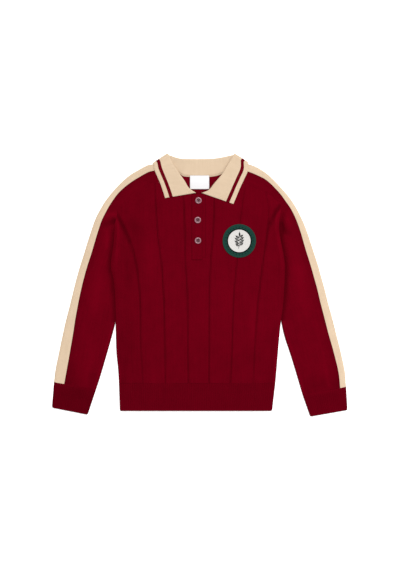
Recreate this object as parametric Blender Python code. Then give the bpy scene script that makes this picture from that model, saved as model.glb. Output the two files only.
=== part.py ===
"""Child's knitted polo sweater lying flat on a table, front up.

Metres, +Z up. +Y runs to the collar, +X to the wearer's left. The origin is on the table, below the
middle of the outline. Plan measures in the tables are millimetres, and so are the working heights.
"""

import math

import bmesh
import bpy
from mathutils import Vector

MM = 0.001

# Cloth and seams, mm
WALL = 2.4              # thickness of one layer of knit
GAP = 0.4               # air between two layers that lie on each other
SEAM = 0.35             # air between two pieces along a seam
LAYER = WALL + GAP      # one layer and the air over it
PAIR = 2 * WALL + GAP   # front and back layer together

# Where layers rise
COLLAR_RAISE = LAYER    # over the collar that lies under the neck
COLLAR_RAMP = 30.0      # the front comes down from the collar over this distance
COLLAR_REST = 4.0       # and begins to this far from the collar's edge
BACK_RAMP = 26.0        # the same two for the back, which lies on the collar
BACK_REST = 8.0
BODY_LOFT = 1.4         # the front stands off the back by this much more
HEM_LOFT = 0.8          # and by this much at the hem
HEM_RAMP = 60.0         # from one to the other over this distance
LOFT_RAMP = 42.0        # from nothing at the side edges over this distance
SLEEVE_LOFT = 1.5
CREASE_RISE = 1.1       # the front stands up beside the sleeve
CREASE_AT = 8.0
CREASE_WIDTH = 5.0
CREASE_START = 40.0     # it rises over this distance from the underarm
CREASE_END = (12.0, 24.0)   # and falls from this far below the shoulder's corner, over this distance
EDGE_ROUND = 5.0        # plan depth of a rounded side edge
ROUND_AT = 1.5          # a row of points stands this far within the edge
TOP_ROUND = (1.2, 2.6)  # both insets, drawn together at the shoulder's corner
EDGE_DROP = 1.8         # a panel's outer side falls by this much at its side edge
SEAM_DROP = 0.5         # and by this much at a sewn seam

# Rib grooves of the front
GROOVE_HALF = 2.1
GROOVE_DEPTH = 1.0
GROOVE_1_TOP = 8.6      # the first groove meets the shoulder seam this far from its corner

# Body length
HEM_TOP = -205.8
HEM_BOTTOM = -265.4
HEM_CORNER = 6.0        # height of the rounded lower corner
CORNER_DEPTH = 3.6      # and how far it takes the edge in
HEM_BOTTOM_RIGHT, HEM_BOTTOM_LEFT = -168.2, 151.2
HEM_RIB_MARGIN = 2.5
HEM_INSIDE = (0.0, 0.06, 0.13, 0.5, 0.87, 0.94, 1.0)
BODY_MIDDLE = (0.0, 60.0)
NECK_MIDDLE = (0.0, 215.0)
HEM_RIBS = 69
CUFF_RIBS = 17
RIB_RISE = 0.8
RIB_BASE = 2.2
RIB_TOP = (0.24, 0.76)  # the flat top of a rib between its two valleys
FOLD_DEPTH = 5.0        # plan depth of the rounded fold of a flattened tube
ARMHOLE_FOOT = 0.08     # the armhole opens this share of a section above the underarm
FLAT_ROWS = 3           # sections of a sleeve that lie flat at the neck
FULL_OVER = 4           # it gets full over this many more, and less so over the last as many
CUFF_FULLNESS = 0.6     # what is left of it at the cuff
BEHIND_MOST = 0.55      # the stripe takes at most this share of the sleeve's back
SLEEVE_ACROSS = (0.0, 0.08, 0.36, 0.68, 0.92, 1.0)
COLLAR_ACROSS = (0.3, 0.65, 1.0)

# Rows of the hem: y, and how far the knit's outer side falls there
HEM_ROWS = [
    (HEM_TOP - SEAM, 0.2),
    (HEM_BOTTOM + 5.0, 0.0),
    (HEM_BOTTOM, 1.1),
]
# Rows of a cuff: share of its length, how far its sides are drawn in, and the fall of its outer side
CUFF_ROWS = [
    (0.0, 0.0, 0.2),
    (0.9, 0.0, 0.0),
    (1.0, 3.0, 1.1),
]

# Colours as linear RGB
BURGUNDY = (0.138, 0.0006, 0.0056)
CREAM = (0.80, 0.61, 0.43)
LABEL_WHITE = (0.84, 0.83, 0.84)
RING_GREEN = (0.013, 0.08, 0.053)
BUTTON_MAUVE = (0.22, 0.07, 0.085)

# The front's outline, one row a level up the side seam and the armhole. share is the height between
# hem and shoulder corner, right_x and left_x the edges on the wearer's right (-X) and left (+X).
SIDE_LEVELS = [
    # share, right_x, left_x
    (0.000, -170.1, 158.2),
    (0.080, -171.8, 160.8),
    (0.170, -175.2, 163.5),
    (0.260, -176.4, 166.4),
    (0.350, -177.2, 169.9),
    (0.440, -178.1, 174.7),
    (0.530, -179.8, 177.0),
    (0.600, -182.5, 178.3),
    (0.665, -187.7, 178.5),
    (0.730, -186.3, 175.1),
    (0.790, -182.9, 170.5),
    (0.850, -180.8, 167.0),
    (0.910, -178.9, 166.3),
    (0.960, -174.5, 168.8),
    (1.000, -173.9, 170.1),
]
UNDERARM_ROW = 4
SLIT_ROW = 8
TOP_ROW = len(SIDE_LEVELS) - 1

# Shoulder seam of the front, from the armhole's corner to the neck
SHOULDER_RIGHT = [(-173.9, 157.5), (-157.5, 172.2), (-136.5, 189.8), (-109.8, 210.4), (-90.3, 215.0)]
SHOULDER_LEFT = [(170.1, 167.0), (155.4, 181.7), (136.5, 195.7), (115.5, 203.3), (96.6, 212.1)]

# Neck seam of the front and of the back, from the wearer's right to the left
NECK_FRONT_RIGHT = [(-58.8, 225.5), (-44.5, 209.6), (-33.2, 199.1), (-21.8, 194.7)]
NECK_FRONT_LEFT = [(60.9, 223.4), (45.2, 206.2), (28.6, 195.3), (15.1, 191.9)]
SLIT_RIGHT, SLIT_LEFT = -15.5, 11.5
SLIT_TOP_RIGHT, SLIT_TOP_LEFT = 192.4, 191.0
BACK_SADDLE_RIGHT = [(-87.2, 224.7), (-57.8, 241.5)]
BACK_SADDLE_LEFT = [(93.5, 222.5), (61.5, 240.5)]
NECK_BACK_RIGHT = [(-42.8, 233.5), (-32.6, 227.6)]
NECK_BACK_LEFT = [(45.4, 232.5), (29.4, 227.6)]
NECK_BACK_MIDDLE = (-2.1, 225.9)

# Rib grooves: y, then x of each of the six, as the front lies
GROOVE_LINES = [
    # y, g1, g2, g3, g4, g5, g6
    (-205.8, -119.7, -72.5, -24.2, 18.9, 64.0, 111.3),
    (-126.0, -124.1, -73.5, -25.6, 19.5, 67.2, 115.5),
    (-31.5, -125.4, -76.0, -26.3, 19.7, 70.1, 122.4),
    (48.3, -134.4, -81.3, -30.5, 22.3, 77.5, 131.9),
    (98.7, -147.8, -88.0, -31.5, 26.9, 81.9, 139.7),
    (153.3, -165.0, -91.8, -33.2, 29.4, 86.7, 143.9),
    (203.7, -166.0, -94.5, -35.4, 30.7, 94.5, 136.5),
]

# Large folds of the front: from, to, half width and rise
FRONT_FOLDS = [
    # x0, y0, x1, y1, width, rise
    (-158.0, 158.0, -140.0, 105.0, 7.0, 1.6),
    (-171.0, 138.0, -168.0, 98.0, 6.0, 1.2),
    (152.0, 160.0, 138.0, 112.0, 7.0, 1.4),
    (164.0, 142.0, 170.0, 92.0, 6.0, 1.2),
]

# Sleeve sections down to the underarm: outer fold and the stripe's share of the front.
# The inner ends are the seam points of the front.
SLEEVE_RIGHT_UPPER = [
    # outer_x, outer_y, stripe
    (-79.8, 257.5, 12.0),
    (-97.9, 252.8, 13.0),
    (-112.4, 250.1, 15.0),
    (-148.1, 229.7, 14.4),
    (-174.8, 205.2, 11.9),
    (-195.2, 180.8, 12.8),
    (-206.8, 163.0, 13.3),
    (-219.0, 139.9, 14.0),
    (-228.4, 113.4, 14.4),
    (-236.6, 88.2, 15.2),
    (-243.9, 64.0, 15.4),
    (-252.0, 38.9, 15.4),
    (-259.4, 12.6, 15.6),
    (-265.8, -12.6, 15.9),
    (-273.5, -44.1, 17.1),
    (-281.1, -73.5, 19.3),
]
SLEEVE_LEFT_UPPER = [
    # outer_x, outer_y, stripe
    (83.6, 257.9, 13.5),
    (100.4, 253.6, 15.5),
    (120.8, 246.1, 15.5),
    (143.8, 230.6, 12.5),
    (171.2, 202.9, 10.2),
    (190.1, 180.2, 11.4),
    (202.9, 160.0, 11.6),
    (214.4, 137.3, 12.6),
    (224.5, 112.4, 14.0),
    (232.8, 87.6, 15.2),
    (240.1, 65.1, 15.9),
    (247.7, 42.0, 16.0),
    (254.2, 17.9, 15.7),
    (261.5, -7.8, 15.8),
    (268.9, -37.8, 16.0),
    (278.1, -71.4, 16.5),
]
# Below the underarm the sleeve is a flattened tube, down to the cuff
SLEEVE_RIGHT_LOWER = [
    # outer_x, outer_y, inner_x, inner_y, stripe
    (-287.3, -100.8, -185.2, -109.2, 21.3),
    (-296.3, -143.8, -198.0, -154.3, 22.9),
    (-303.3, -178.5, -208.8, -191.1, 23.5),
    (-306.4, -203.7, -218.2, -219.7, 22.0),
]
SLEEVE_LEFT_LOWER = [
    # outer_x, outer_y, inner_x, inner_y, stripe
    (285.6, -101.4, 177.0, -107.1, 16.3),
    (295.2, -139.7, 189.4, -144.9, 15.1),
    (303.7, -180.6, 202.3, -186.9, 13.6),
    (306.6, -213.4, 215.2, -230.6, 12.9),
]
STRIPE_WIDTH = 35.0     # the whole stripe, which wraps the outer fold
CUFF_END_RIGHT = (-310.8, -257.4, -235.6, -272.2)
CUFF_END_LEFT = (309.6, -262.4, 231.2, -276.2)

# Collar: neck seam, fold and outer edge, from the front end to the side crease, then across the back.
COLLAR_RIGHT_FRONT = [
    # seam_x, seam_y, fold_x, fold_y, edge_x, edge_y
    (-21.8, 194.7, -9.8, 192.9, -73.1, 182.1),
    (-33.2, 199.1, -25.2, 202.4, -77.5, 196.4),
    (-44.5, 209.6, -33.6, 215.9, -83.6, 213.8),
    (-58.8, 225.5, -46.8, 235.2, -90.3, 228.9),
    (-68.6, 240.6, -58.0, 252.8, -95.8, 242.3),
    (-77.8, 257.1, -66.8, 270.9, -97.0, 251.0),
]
COLLAR_BACK = [
    # seam_x, seam_y, fold_x, fold_y, edge_x, edge_y
    (-57.8, 241.5, -54.6, 266.3, -75.6, 243.0),
    (-42.8, 233.5, -41.0, 262.9, -50.4, 233.0),
    (-32.6, 227.6, -27.3, 262.1, -29.4, 227.6),
    (-2.1, 225.9, -2.1, 261.9, -2.1, 224.7),
    (29.4, 227.6, 25.2, 262.5, 27.3, 227.2),
    (45.4, 232.5, 44.1, 265.0, 52.5, 233.4),
    (61.5, 240.5, 57.8, 267.8, 77.7, 243.8),
]
COLLAR_LEFT_FRONT = [
    # seam_x, seam_y, fold_x, fold_y, edge_x, edge_y
    (81.6, 257.1, 71.2, 270.7, 99.1, 252.5),
    (72.2, 240.7, 61.5, 253.5, 99.8, 238.4),
    (60.9, 223.4, 48.1, 231.2, 92.4, 221.6),
    (45.2, 206.2, 31.9, 211.9, 84.6, 204.8),
    (28.6, 195.3, 20.8, 198.5, 77.3, 187.3),
    (15.1, 191.9, 4.6, 192.4, 69.9, 169.7),
]
CREASE_TURNS = 5        # sections round each side crease of the collar
FOLD_TURNS = 4          # steps round the collar's fold
STAND_REACH = WALL / 2 + GAP / 2
FALL_REACH = STAND_REACH + WALL + GAP

# Placket, buttons, patch and label
BAND_RIGHT, BAND_LEFT = -17.3, 4.7
BAND_TOP, BAND_BOTTOM = 190.2, 52.5
UNDER_BAND_TOP = 190.5
BUTTONS = [(-3.2, 176.9), (-4.7, 136.0), (-4.2, 93.0)]
BUTTON_RADIUS = 6.8
BUTTON_HEIGHT = 3.0
PATCH_AT = (82.4, 92.4)
PATCH_RADIUS = 35.2
PATCH_RING = 10.0       # width of the raised green ring
PATCH_THICKNESS = 1.2
PATCH_RING_RISE = 0.5
LABEL_BOX = (-21.0, 19.3, 201.0, 229.5)
LABEL_THICKNESS = 1.0


# Small sums

def smooth(t):
    """0 to 1, flat at both ends."""
    t = min(max(t, 0.0), 1.0)
    return t * t * (3 - 2 * t)


def mix(a, b, t):
    return a + (b - a) * t


def mix_point(a, b, t):
    return (mix(a[0], b[0], t), mix(a[1], b[1], t))


def read(rows, x, column=1):
    """The column's value at x, between the table's rows, which run up or down in x."""
    rows = sorted(rows, key=lambda row: row[0])
    if x <= rows[0][0]:
        return rows[0][column]
    for low, high in zip(rows, rows[1:]):
        if x <= high[0]:
            return mix(low[column], high[column], (x - low[0]) / (high[0] - low[0]))
    return rows[-1][column]


def to_segment(point, a, b):
    """Distance from a point to the segment a-b, and how far along it the nearest point is."""
    dx, dy = b[0] - a[0], b[1] - a[1]
    along = ((point[0] - a[0]) * dx + (point[1] - a[1]) * dy) / (dx * dx + dy * dy)
    along = min(max(along, 0.0), 1.0)
    away = math.hypot(point[0] - a[0] - along * dx, point[1] - a[1] - along * dy)
    return away, along


def to_line(point, line):
    return min(to_segment(point, a, b)[0] for a, b in zip(line, line[1:]))


def inside(point, outline):
    odd = False
    for a, b in zip(outline, outline[1:] + outline[:1]):
        if (a[1] > point[1]) != (b[1] > point[1]):
            if point[0] < a[0] + (point[1] - a[1]) * (b[0] - a[0]) / (b[1] - a[1]):
                odd = not odd
    return odd


def outside_by(point, outline):
    """Distance to a closed outline, or 0 within it."""
    if inside(point, outline):
        return 0.0
    return to_line(point, outline + outline[:1])


# The outline in plan

CORNER_RIGHT, CORNER_LEFT = SHOULDER_RIGHT[0], SHOULDER_LEFT[0]
TOP_RIGHT = SHOULDER_RIGHT + NECK_FRONT_RIGHT + [(SLIT_RIGHT, SLIT_TOP_RIGHT)]
TOP_LEFT = SHOULDER_LEFT + NECK_FRONT_LEFT + [(SLIT_LEFT, SLIT_TOP_LEFT)]
FRONT_TOP = TOP_RIGHT + TOP_LEFT[::-1]
BACK_TOP = (
    SHOULDER_RIGHT[:-1] + BACK_SADDLE_RIGHT + NECK_BACK_RIGHT + [NECK_BACK_MIDDLE]
    + NECK_BACK_LEFT[::-1] + BACK_SADDLE_LEFT[::-1] + SHOULDER_LEFT[-2::-1]
)


def side_point(row, left):
    """Point of the side seam or armhole at one level."""
    share, right_x, left_x = SIDE_LEVELS[row]
    corner = CORNER_LEFT if left else CORNER_RIGHT
    return (left_x if left else right_x, mix(HEM_TOP, corner[1], share))


SIDE_RIGHT = [side_point(row, False) for row in range(TOP_ROW + 1)]
SIDE_LEFT = [side_point(row, True) for row in range(TOP_ROW + 1)]
BODY_EDGE_RIGHT = SIDE_RIGHT + SHOULDER_RIGHT[1:]
BODY_EDGE_LEFT = SIDE_LEFT + SHOULDER_LEFT[1:]

# Ground that the collar covers above the front, and the ground under the back where it lies
COLLAR_ABOVE = (
    [(row[4], row[5]) for row in COLLAR_RIGHT_FRONT]
    + [(row[2], row[3]) for row in COLLAR_BACK]
    + [(row[4], row[5]) for row in COLLAR_LEFT_FRONT]
)
COLLAR_BELOW = (
    [(COLLAR_RIGHT_FRONT[-1][4], COLLAR_RIGHT_FRONT[-1][5])]
    + [(row[2], row[3]) for row in COLLAR_BACK]
    + [(COLLAR_LEFT_FRONT[0][4], COLLAR_LEFT_FRONT[0][5])]
    + [(row[4], row[5]) for row in COLLAR_BACK[::-1]]
)


# Heights of the layers

def raised_above(point):
    """How far the collar under the neck lifts what lies on it."""
    away = outside_by(point, COLLAR_ABOVE) - COLLAR_REST
    return COLLAR_RAISE * (1 - smooth(away / COLLAR_RAMP))


def raised_below(point):
    """How far the back stands off the table where it lies on the collar."""
    away = outside_by(point, COLLAR_BELOW) - BACK_REST
    return COLLAR_RAISE * (1 - smooth(away / BACK_RAMP))


def edge_distance(point):
    return min(to_line(point, BODY_EDGE_RIGHT), to_line(point, BODY_EDGE_LEFT))


def fold_rise(point):
    """What the large folds add to the front's height."""
    total = 0.0
    for x0, y0, x1, y1, width, rise in FRONT_FOLDS:
        away, along = to_segment(point, (x0, y0), (x1, y1))
        total += rise * math.exp(-((away / width) ** 2)) * (1 - 0.5 * along)
    return total


def crease_rise(point):
    """The front's rounded edge beside the armhole."""
    up = smooth((point[1] - SIDE_RIGHT[UNDERARM_ROW][1]) / CREASE_START)
    down = 1 - smooth((point[1] - CORNER_RIGHT[1] + CREASE_END[0]) / CREASE_END[1])
    away = edge_distance(point)
    return CREASE_RISE * up * down * math.exp(-(((away - CREASE_AT) / CREASE_WIDTH) ** 2))


def front_rise(point):
    """Height of the front's layer above its lowest place on the back."""
    away = smooth(edge_distance(point) / LOFT_RAMP)
    loft = mix(HEM_LOFT, BODY_LOFT, smooth((point[1] - HEM_TOP) / HEM_RAMP)) * away
    collar = raised_above(point)
    free = 1 - collar / COLLAR_RAISE
    return collar + free * (loft + crease_rise(point) + fold_rise(point) * away)


def front_top(point):
    return PAIR + front_rise(point)


# Building bodies

def new_object(name, mesh_data, colour, roughness):
    mesh = bpy.data.meshes.new(name)
    mesh_data.to_mesh(mesh)
    mesh_data.free()
    material = bpy.data.materials.new(name)
    material.use_nodes = True
    shader = material.node_tree.nodes["Principled BSDF"]
    shader.inputs["Base Color"].default_value = (*colour, 1)
    shader.inputs["Roughness"].default_value = roughness
    shader.inputs["Metallic"].default_value = 0.0
    mesh.materials.append(material)
    mesh.shade_smooth()
    mesh.set_sharp_from_angle(angle=math.radians(40))
    thing = bpy.data.objects.new(name, mesh)
    bpy.context.collection.objects.link(thing)
    return thing


def wall(name, outer, inner, colour, roughness=0.9, missing=(), ring=False):
    """A wall between two grids of points, one row a section; missing cells are left open."""
    data = bmesh.new()
    rows, columns = len(outer), len(outer[0])
    points = [
        [[data.verts.new(Vector(p) * MM) for p in row] for row in grid]
        for grid in (outer, inner)
    ]
    wraps = columns if ring else columns - 1
    cells = {(i, j) for i in range(rows - 1) for j in range(wraps)} - set(missing)
    for i, j in cells:
        k = (j + 1) % columns
        around = ((i, j), (i, k), (i + 1, k), (i + 1, j))
        data.faces.new([points[0][a][b] for a, b in around])
        data.faces.new([points[1][a][b] for a, b in reversed(around)])
        neighbours = ((i - 1, j), (i, j + 1), (i + 1, j), (i, j - 1))
        for side, (a, b) in enumerate(neighbours):
            b = b % columns if ring else b
            if (a, b) in cells:
                continue
            start, end = around[side], around[(side + 1) % 4]
            data.faces.new([
                points[0][end[0]][end[1]],
                points[0][start[0]][start[1]],
                points[1][start[0]][start[1]],
                points[1][end[0]][end[1]],
            ])
    loose = [v for v in data.verts if not v.link_faces]
    bmesh.ops.delete(data, geom=loose, context="VERTS")
    bmesh.ops.recalc_face_normals(data, faces=data.faces)
    return new_object(name, data, colour, roughness)


def loft(name, rings, colour, roughness):
    """A body through closed rings of the same number of points, with flat ends."""
    data = bmesh.new()
    loops = [[data.verts.new(Vector(p) * MM) for p in ring] for ring in rings]
    count = len(loops[0])
    for low, high in zip(loops, loops[1:]):
        for k in range(count):
            n = (k + 1) % count
            data.faces.new([low[k], low[n], high[n], high[k]])
    data.faces.new(loops[0][::-1])
    data.faces.new(loops[-1])
    bmesh.ops.recalc_face_normals(data, faces=data.faces)
    return new_object(name, data, colour, roughness)


# Front and back

def guide_x(guide, y):
    """x of a guide line at a height: one of the two sides or a groove."""
    if guide == "right":
        return read([(p[1], p[0]) for p in SIDE_RIGHT], y)
    if guide == "left":
        return read([(p[1], p[0]) for p in SIDE_LEFT], y)
    return read(GROOVE_LINES, y, guide)


# Columns of the front from the wearer's right to the left: two guide lines, the share between them
# at the hem, the x where the column meets the top edge, and what it is.
def front_columns():
    columns = []

    def add(low, high, share, top_x, kind="flat", shift=0.0):
        columns.append((low, high, share, top_x, kind, shift))

    def groove(number, top_x):
        for step in (-1, 0, 1):
            kind = "groove" if step == 0 else "flat"
            shift = step * GROOVE_HALF
            add(number, number, 0.0, top_x + shift, kind, shift)

    right, left = TOP_RIGHT, TOP_LEFT
    near, far = TOP_ROUND
    add("right", "right", 0.0, right[0][0], "edge")
    add("right", "right", 0.0, right[0][0] + near, "round", ROUND_AT)
    add("right", "right", 0.0, right[0][0] + far, "flat", EDGE_ROUND)
    add("right", 1, 0.5, right[0][0] + GROOVE_1_TOP / 2)
    groove(1, right[0][0] + GROOVE_1_TOP)
    add(1, 2, 0.25, right[1][0])
    add(1, 2, 0.5, right[2][0])
    add(1, 2, 0.75, right[3][0])
    groove(2, right[4][0] - GROOVE_HALF)
    add(2, 3, 0.33, right[5][0])
    add(2, 3, 0.66, right[6][0])
    groove(3, right[7][0] - GROOVE_HALF)
    add("slit", SLIT_RIGHT, 0.0, SLIT_RIGHT)
    add("slit", (SLIT_RIGHT + SLIT_LEFT) / 2, 0.0, (SLIT_RIGHT + SLIT_LEFT) / 2)
    add("slit", SLIT_LEFT, 0.0, SLIT_LEFT)
    groove(4, left[7][0] + GROOVE_HALF)
    add(4, 5, 0.33, left[6][0])
    add(4, 5, 0.66, left[5][0])
    groove(5, left[4][0] - GROOVE_HALF)
    add(5, 6, 0.33, left[3][0])
    groove(6, left[2][0])
    add(6, "left", 0.33, left[1][0])
    add(6, "left", 0.66, (left[0][0] + left[1][0]) / 2)
    add("left", "left", 0.0, left[0][0] - far, "flat", -EDGE_ROUND)
    add("left", "left", 0.0, left[0][0] - near, "round", -ROUND_AT)
    add("left", "left", 0.0, left[0][0], "edge")
    return columns


def column_point(column, row):
    """Plan point of a column at one level of the front."""
    low, high, share, top_x, kind, shift = column
    top_y = read(FRONT_TOP, top_x)
    across = (top_x - CORNER_RIGHT[0]) / (CORNER_LEFT[0] - CORNER_RIGHT[0])
    level = SIDE_LEVELS[row][0]
    y = mix(HEM_TOP, top_y, level)
    if low == "slit":
        return (high, y)
    if kind == "edge":
        return side_point(row, low == "left")
    close = smooth(level)
    x = mix(guide_x(low, y) + shift, guide_x(high, y) + shift, share)
    top = mix(guide_x(low, top_y) + shift, guide_x(high, top_y) + shift, share)
    return (x + (top_x - top) * close, y)


def edge_drop(row, kind):
    """How far a panel's outer side falls toward a side edge or a seam."""
    away = {"edge": 0.0, "round": ROUND_AT}.get(kind)
    if away is None:
        return SEAM_DROP if row == TOP_ROW else 0.0
    free = row < UNDERARM_ROW
    drop = EDGE_DROP if free else SEAM_DROP
    return drop * (1 - math.sqrt(1 - (1 - away / EDGE_ROUND) ** 2))


def seam_inset(point, amount=SEAM / 2):
    """Moves a seam point half the seam's gap into its own panel, toward the body's middle."""
    dx, dy = BODY_MIDDLE[0] - point[0], BODY_MIDDLE[1] - point[1]
    away = math.hypot(dx, dy)
    return (point[0] + dx / away * amount, point[1] + dy / away * amount)


def make_front():
    columns = front_columns()
    outer, inner = [], []
    for row in range(TOP_ROW + 1):
        high, low = [], []
        for column in columns:
            point = column_point(column, row)
            top = front_top(point)
            under = top - WALL
            if column[4] == "groove":
                top -= GROOVE_DEPTH
            top -= edge_drop(row, column[4])
            if row == TOP_ROW or (column[4] == "edge" and row >= UNDERARM_ROW):
                point = seam_inset(point)
            high.append((*point, top))
            low.append((*point, under))
        outer.append(high)
        inner.append(low)
    slit = [j for j, column in enumerate(columns) if column[0] == "slit"]
    missing = [(i, j) for i in range(SLIT_ROW, TOP_ROW) for j in slit[:-1]]
    return wall("front_panel", outer, inner, BURGUNDY, missing=missing)


# The back, and the hem below both panels

def make_back():
    near, far = TOP_ROUND
    insets = ((0.0, 0.0, "edge"), (ROUND_AT, near, "round"), (EDGE_ROUND, far, "flat"))
    tops = [CORNER_RIGHT[0] + inset[1] for inset in insets]
    tops += [point[0] for point in BACK_TOP[1:-1]]
    tops += [CORNER_LEFT[0] - inset[1] for inset in insets[::-1]]
    last = len(tops) - 1
    outer, inner = [], []
    for row in range(TOP_ROW + 1):
        right, left = side_point(row, False), side_point(row, True)
        level = SIDE_LEVELS[row][0]
        low, high = [], []
        for j, top_x in enumerate(tops):
            y = mix(HEM_TOP, read(BACK_TOP, top_x), level)
            share = (j - 2) / (last - 4)
            x = mix(right[0] + EDGE_ROUND, left[0] - EDGE_ROUND, share)
            x = mix(x, top_x, smooth(level))
            edge, kind = min(j, last - j), "flat"
            if edge < len(insets):
                below, top, kind = insets[edge]
                inset = mix(below, top, level)
                x = right[0] + inset if j == edge else left[0] - inset
            point = (x, y)
            under = raised_below(point)
            drop = edge_drop(row, kind)
            if row == TOP_ROW or (kind == "edge" and row >= UNDERARM_ROW):
                point = seam_inset(point)
            low.append((*point, under + drop))
            high.append((*point, under + WALL))
        outer.append(low)
        inner.append(high)
    return wall("back_panel", outer, inner, BURGUNDY)


def rib_profile(ribs):
    """Shares across a ribbed band, and at each the rise of the rib: a flat top between two valleys."""
    profile = []
    for k in range(ribs):
        profile += [(k / ribs, 0.0)] + [((k + share) / ribs, 1.0) for share in RIB_TOP]
    return profile + [(1.0, 0.0)]


def hem_edges(y):
    """x of the hem's two sides at a height, with its rounded lower corners."""
    share = (y - HEM_TOP) / (HEM_BOTTOM - HEM_TOP)
    right = mix(SIDE_LEVELS[0][1], HEM_BOTTOM_RIGHT, share)
    left = mix(SIDE_LEVELS[0][2], HEM_BOTTOM_LEFT, share)
    into = max(0.0, HEM_CORNER - (y - HEM_BOTTOM)) / HEM_CORNER
    round_off = CORNER_DEPTH * (1 - math.sqrt(max(0.0, 1 - into * into)))
    return right + round_off, left - round_off


def hem_rise(x, right, left):
    return HEM_LOFT * smooth(min(x - right, left - x) / LOFT_RAMP)


def make_hem_front():
    rings = []
    for y, lip in HEM_ROWS:
        right, left = hem_edges(y)
        start, end = right + HEM_RIB_MARGIN, left - HEM_RIB_MARGIN
        ring = [(right, y, LAYER + 0.6)]
        for share, rib in rib_profile(HEM_RIBS):
            x = mix(start, end, share)
            near = min(x - right, left - x)
            top = LAYER + hem_rise(x, right, left) + RIB_BASE + rib * RIB_RISE - lip
            round_off = EDGE_DROP * 0.5 * max(0.0, 1 - near / EDGE_ROUND)
            ring.append((x, y, top - round_off))
        ring.append((left, y, LAYER + 0.6))
        for share in HEM_INSIDE:
            x = mix(left, right, share)
            ring.append((x, y, LAYER + hem_rise(x, right, left)))
        rings.append(ring)
    return loft("hem_front", rings, BURGUNDY, 0.9)


def make_hem_back():
    rings = []
    for y, lip in HEM_ROWS:
        right, left = hem_edges(y)
        ring = []
        edge = ((0.0, EDGE_DROP), (ROUND_AT, 0.5), (EDGE_ROUND, 0.0))
        ring += [(right + away, y, lift) for away, lift in edge]
        ring += [(left - away, y, lift) for away, lift in edge[::-1]]
        ring += [(left, y, WALL), (right, y, WALL)]
        rings.append(ring)
    return loft("hem_back", rings, BURGUNDY, 0.9)


# Sleeves, stripes and cuffs

def sleeve_sections(left):
    """Sections from the neck to the cuff: outer fold, inner end of front and back, stripe, tube or not."""
    upper = SLEEVE_LEFT_UPPER if left else SLEEVE_RIGHT_UPPER
    lower = SLEEVE_LEFT_LOWER if left else SLEEVE_RIGHT_LOWER
    shoulder = SHOULDER_LEFT if left else SHOULDER_RIGHT
    neck = (NECK_FRONT_LEFT if left else NECK_FRONT_RIGHT)[0]
    back = BACK_SADDLE_LEFT if left else BACK_SADDLE_RIGHT
    side = SIDE_LEFT if left else SIDE_RIGHT
    seam = [neck] + shoulder[::-1] + side[TOP_ROW - 1:UNDERARM_ROW - 1:-1]
    back_seam = back[::-1] + seam[2:]
    sections = []
    for row, front_end, back_end in zip(upper, seam, back_seam):
        sections.append([(row[0], row[1]), front_end, back_end, row[2], False])
    under = sections[-1]
    above = sections[-2]
    just_above = [
        mix_point(under[0], above[0], ARMHOLE_FOOT),
        mix_point(under[1], above[1], ARMHOLE_FOOT),
        mix_point(under[2], above[2], ARMHOLE_FOOT),
        mix(under[3], above[3], ARMHOLE_FOOT),
        False,
    ]
    under[4] = True
    sections.insert(-1, just_above)
    for outer_x, outer_y, inner_x, inner_y, stripe in lower:
        sections.append([(outer_x, outer_y), (inner_x, inner_y), (inner_x, inner_y), stripe, True])
    return sections


def sleeve_fullness(index, count):
    """The sleeve lies flat at the neck and is fuller from the shoulder on."""
    less = (1 - CUFF_FULLNESS) * smooth((index - count + FULL_OVER) / FULL_OVER)
    return smooth((index - FLAT_ROWS) / FULL_OVER) * (1 - less)


def tube_point(section, fullness, away, angle, side, shell):
    """A point of the flattened tube. away runs from the outer fold; angle turns round a fold.

    side is front or back, or the fold that it turns round; shell is 0 outside and 1 inside.
    """
    outer, front_end, back_end = section[0], section[1], section[2]
    end = back_end if side == "back" else front_end
    width = math.dist(outer, end)
    over_fold = side in ("outer fold", "inner fold")
    if over_fold:
        depth = FOLD_DEPTH - WALL * shell
        reach = depth * (1 - math.sin(angle)) + WALL * shell
        away = reach if side == "outer fold" else width - SEAM - reach
    plan = mix_point(outer, end, away / width)
    bump = math.sin(math.pi * min(max(away / width, 0.0), 1.0))
    top = PAIR + raised_above(plan) + SLEEVE_LOFT * fullness * bump
    bottom = raised_below(plan)
    if side == "front":
        return (*plan, top - WALL * shell)
    if side == "back":
        return (*plan, bottom + WALL * shell)
    middle, half = (top + bottom) / 2, (top - bottom) / 2 - WALL * shell
    return (*plan, middle + half * math.cos(angle))


def make_sleeve(name, left):
    sections = sleeve_sections(left)
    count = len(sections)
    grids = ([], [])
    for index, section in enumerate(sections):
        outer, front_end, back_end, stripe, tube = section
        front_width, back_width = math.dist(outer, front_end), math.dist(outer, back_end)
        fullness = sleeve_fullness(index, count)
        start = stripe + SEAM / 2
        back_start = stripe_behind(stripe, back_width) + SEAM / 2
        stop = front_width - (FOLD_DEPTH if tube else SEAM / 2)
        back_stop = back_width - (FOLD_DEPTH if tube else SEAM / 2)
        for shell, grid in enumerate(grids):
            row = []
            for share in SLEEVE_ACROSS:
                row.append(tube_point(section, fullness, mix(start, stop, share), 0, "front", shell))
            for step in range(1, 4):
                row.append(tube_point(section, fullness, 0, step * math.pi / 4, "inner fold", shell))
            for share in (0.0, 0.5, 1.0):
                away = mix(back_stop, back_start, share)
                row.append(tube_point(section, fullness, away, 0, "back", shell))
            grid.append(row)
    first = len(SLEEVE_ACROSS) - 1
    open_rows = [i for i in range(count - 1) if not sections[i][4]]
    missing = [(i, j) for i in open_rows for j in range(first, first + 4)]
    return wall(name, grids[0], grids[1], BURGUNDY, missing=missing)


def stripe_behind(stripe, back_width):
    """How much of the stripe lies on the sleeve's back."""
    return min(STRIPE_WIDTH - stripe, back_width * BEHIND_MOST)


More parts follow.
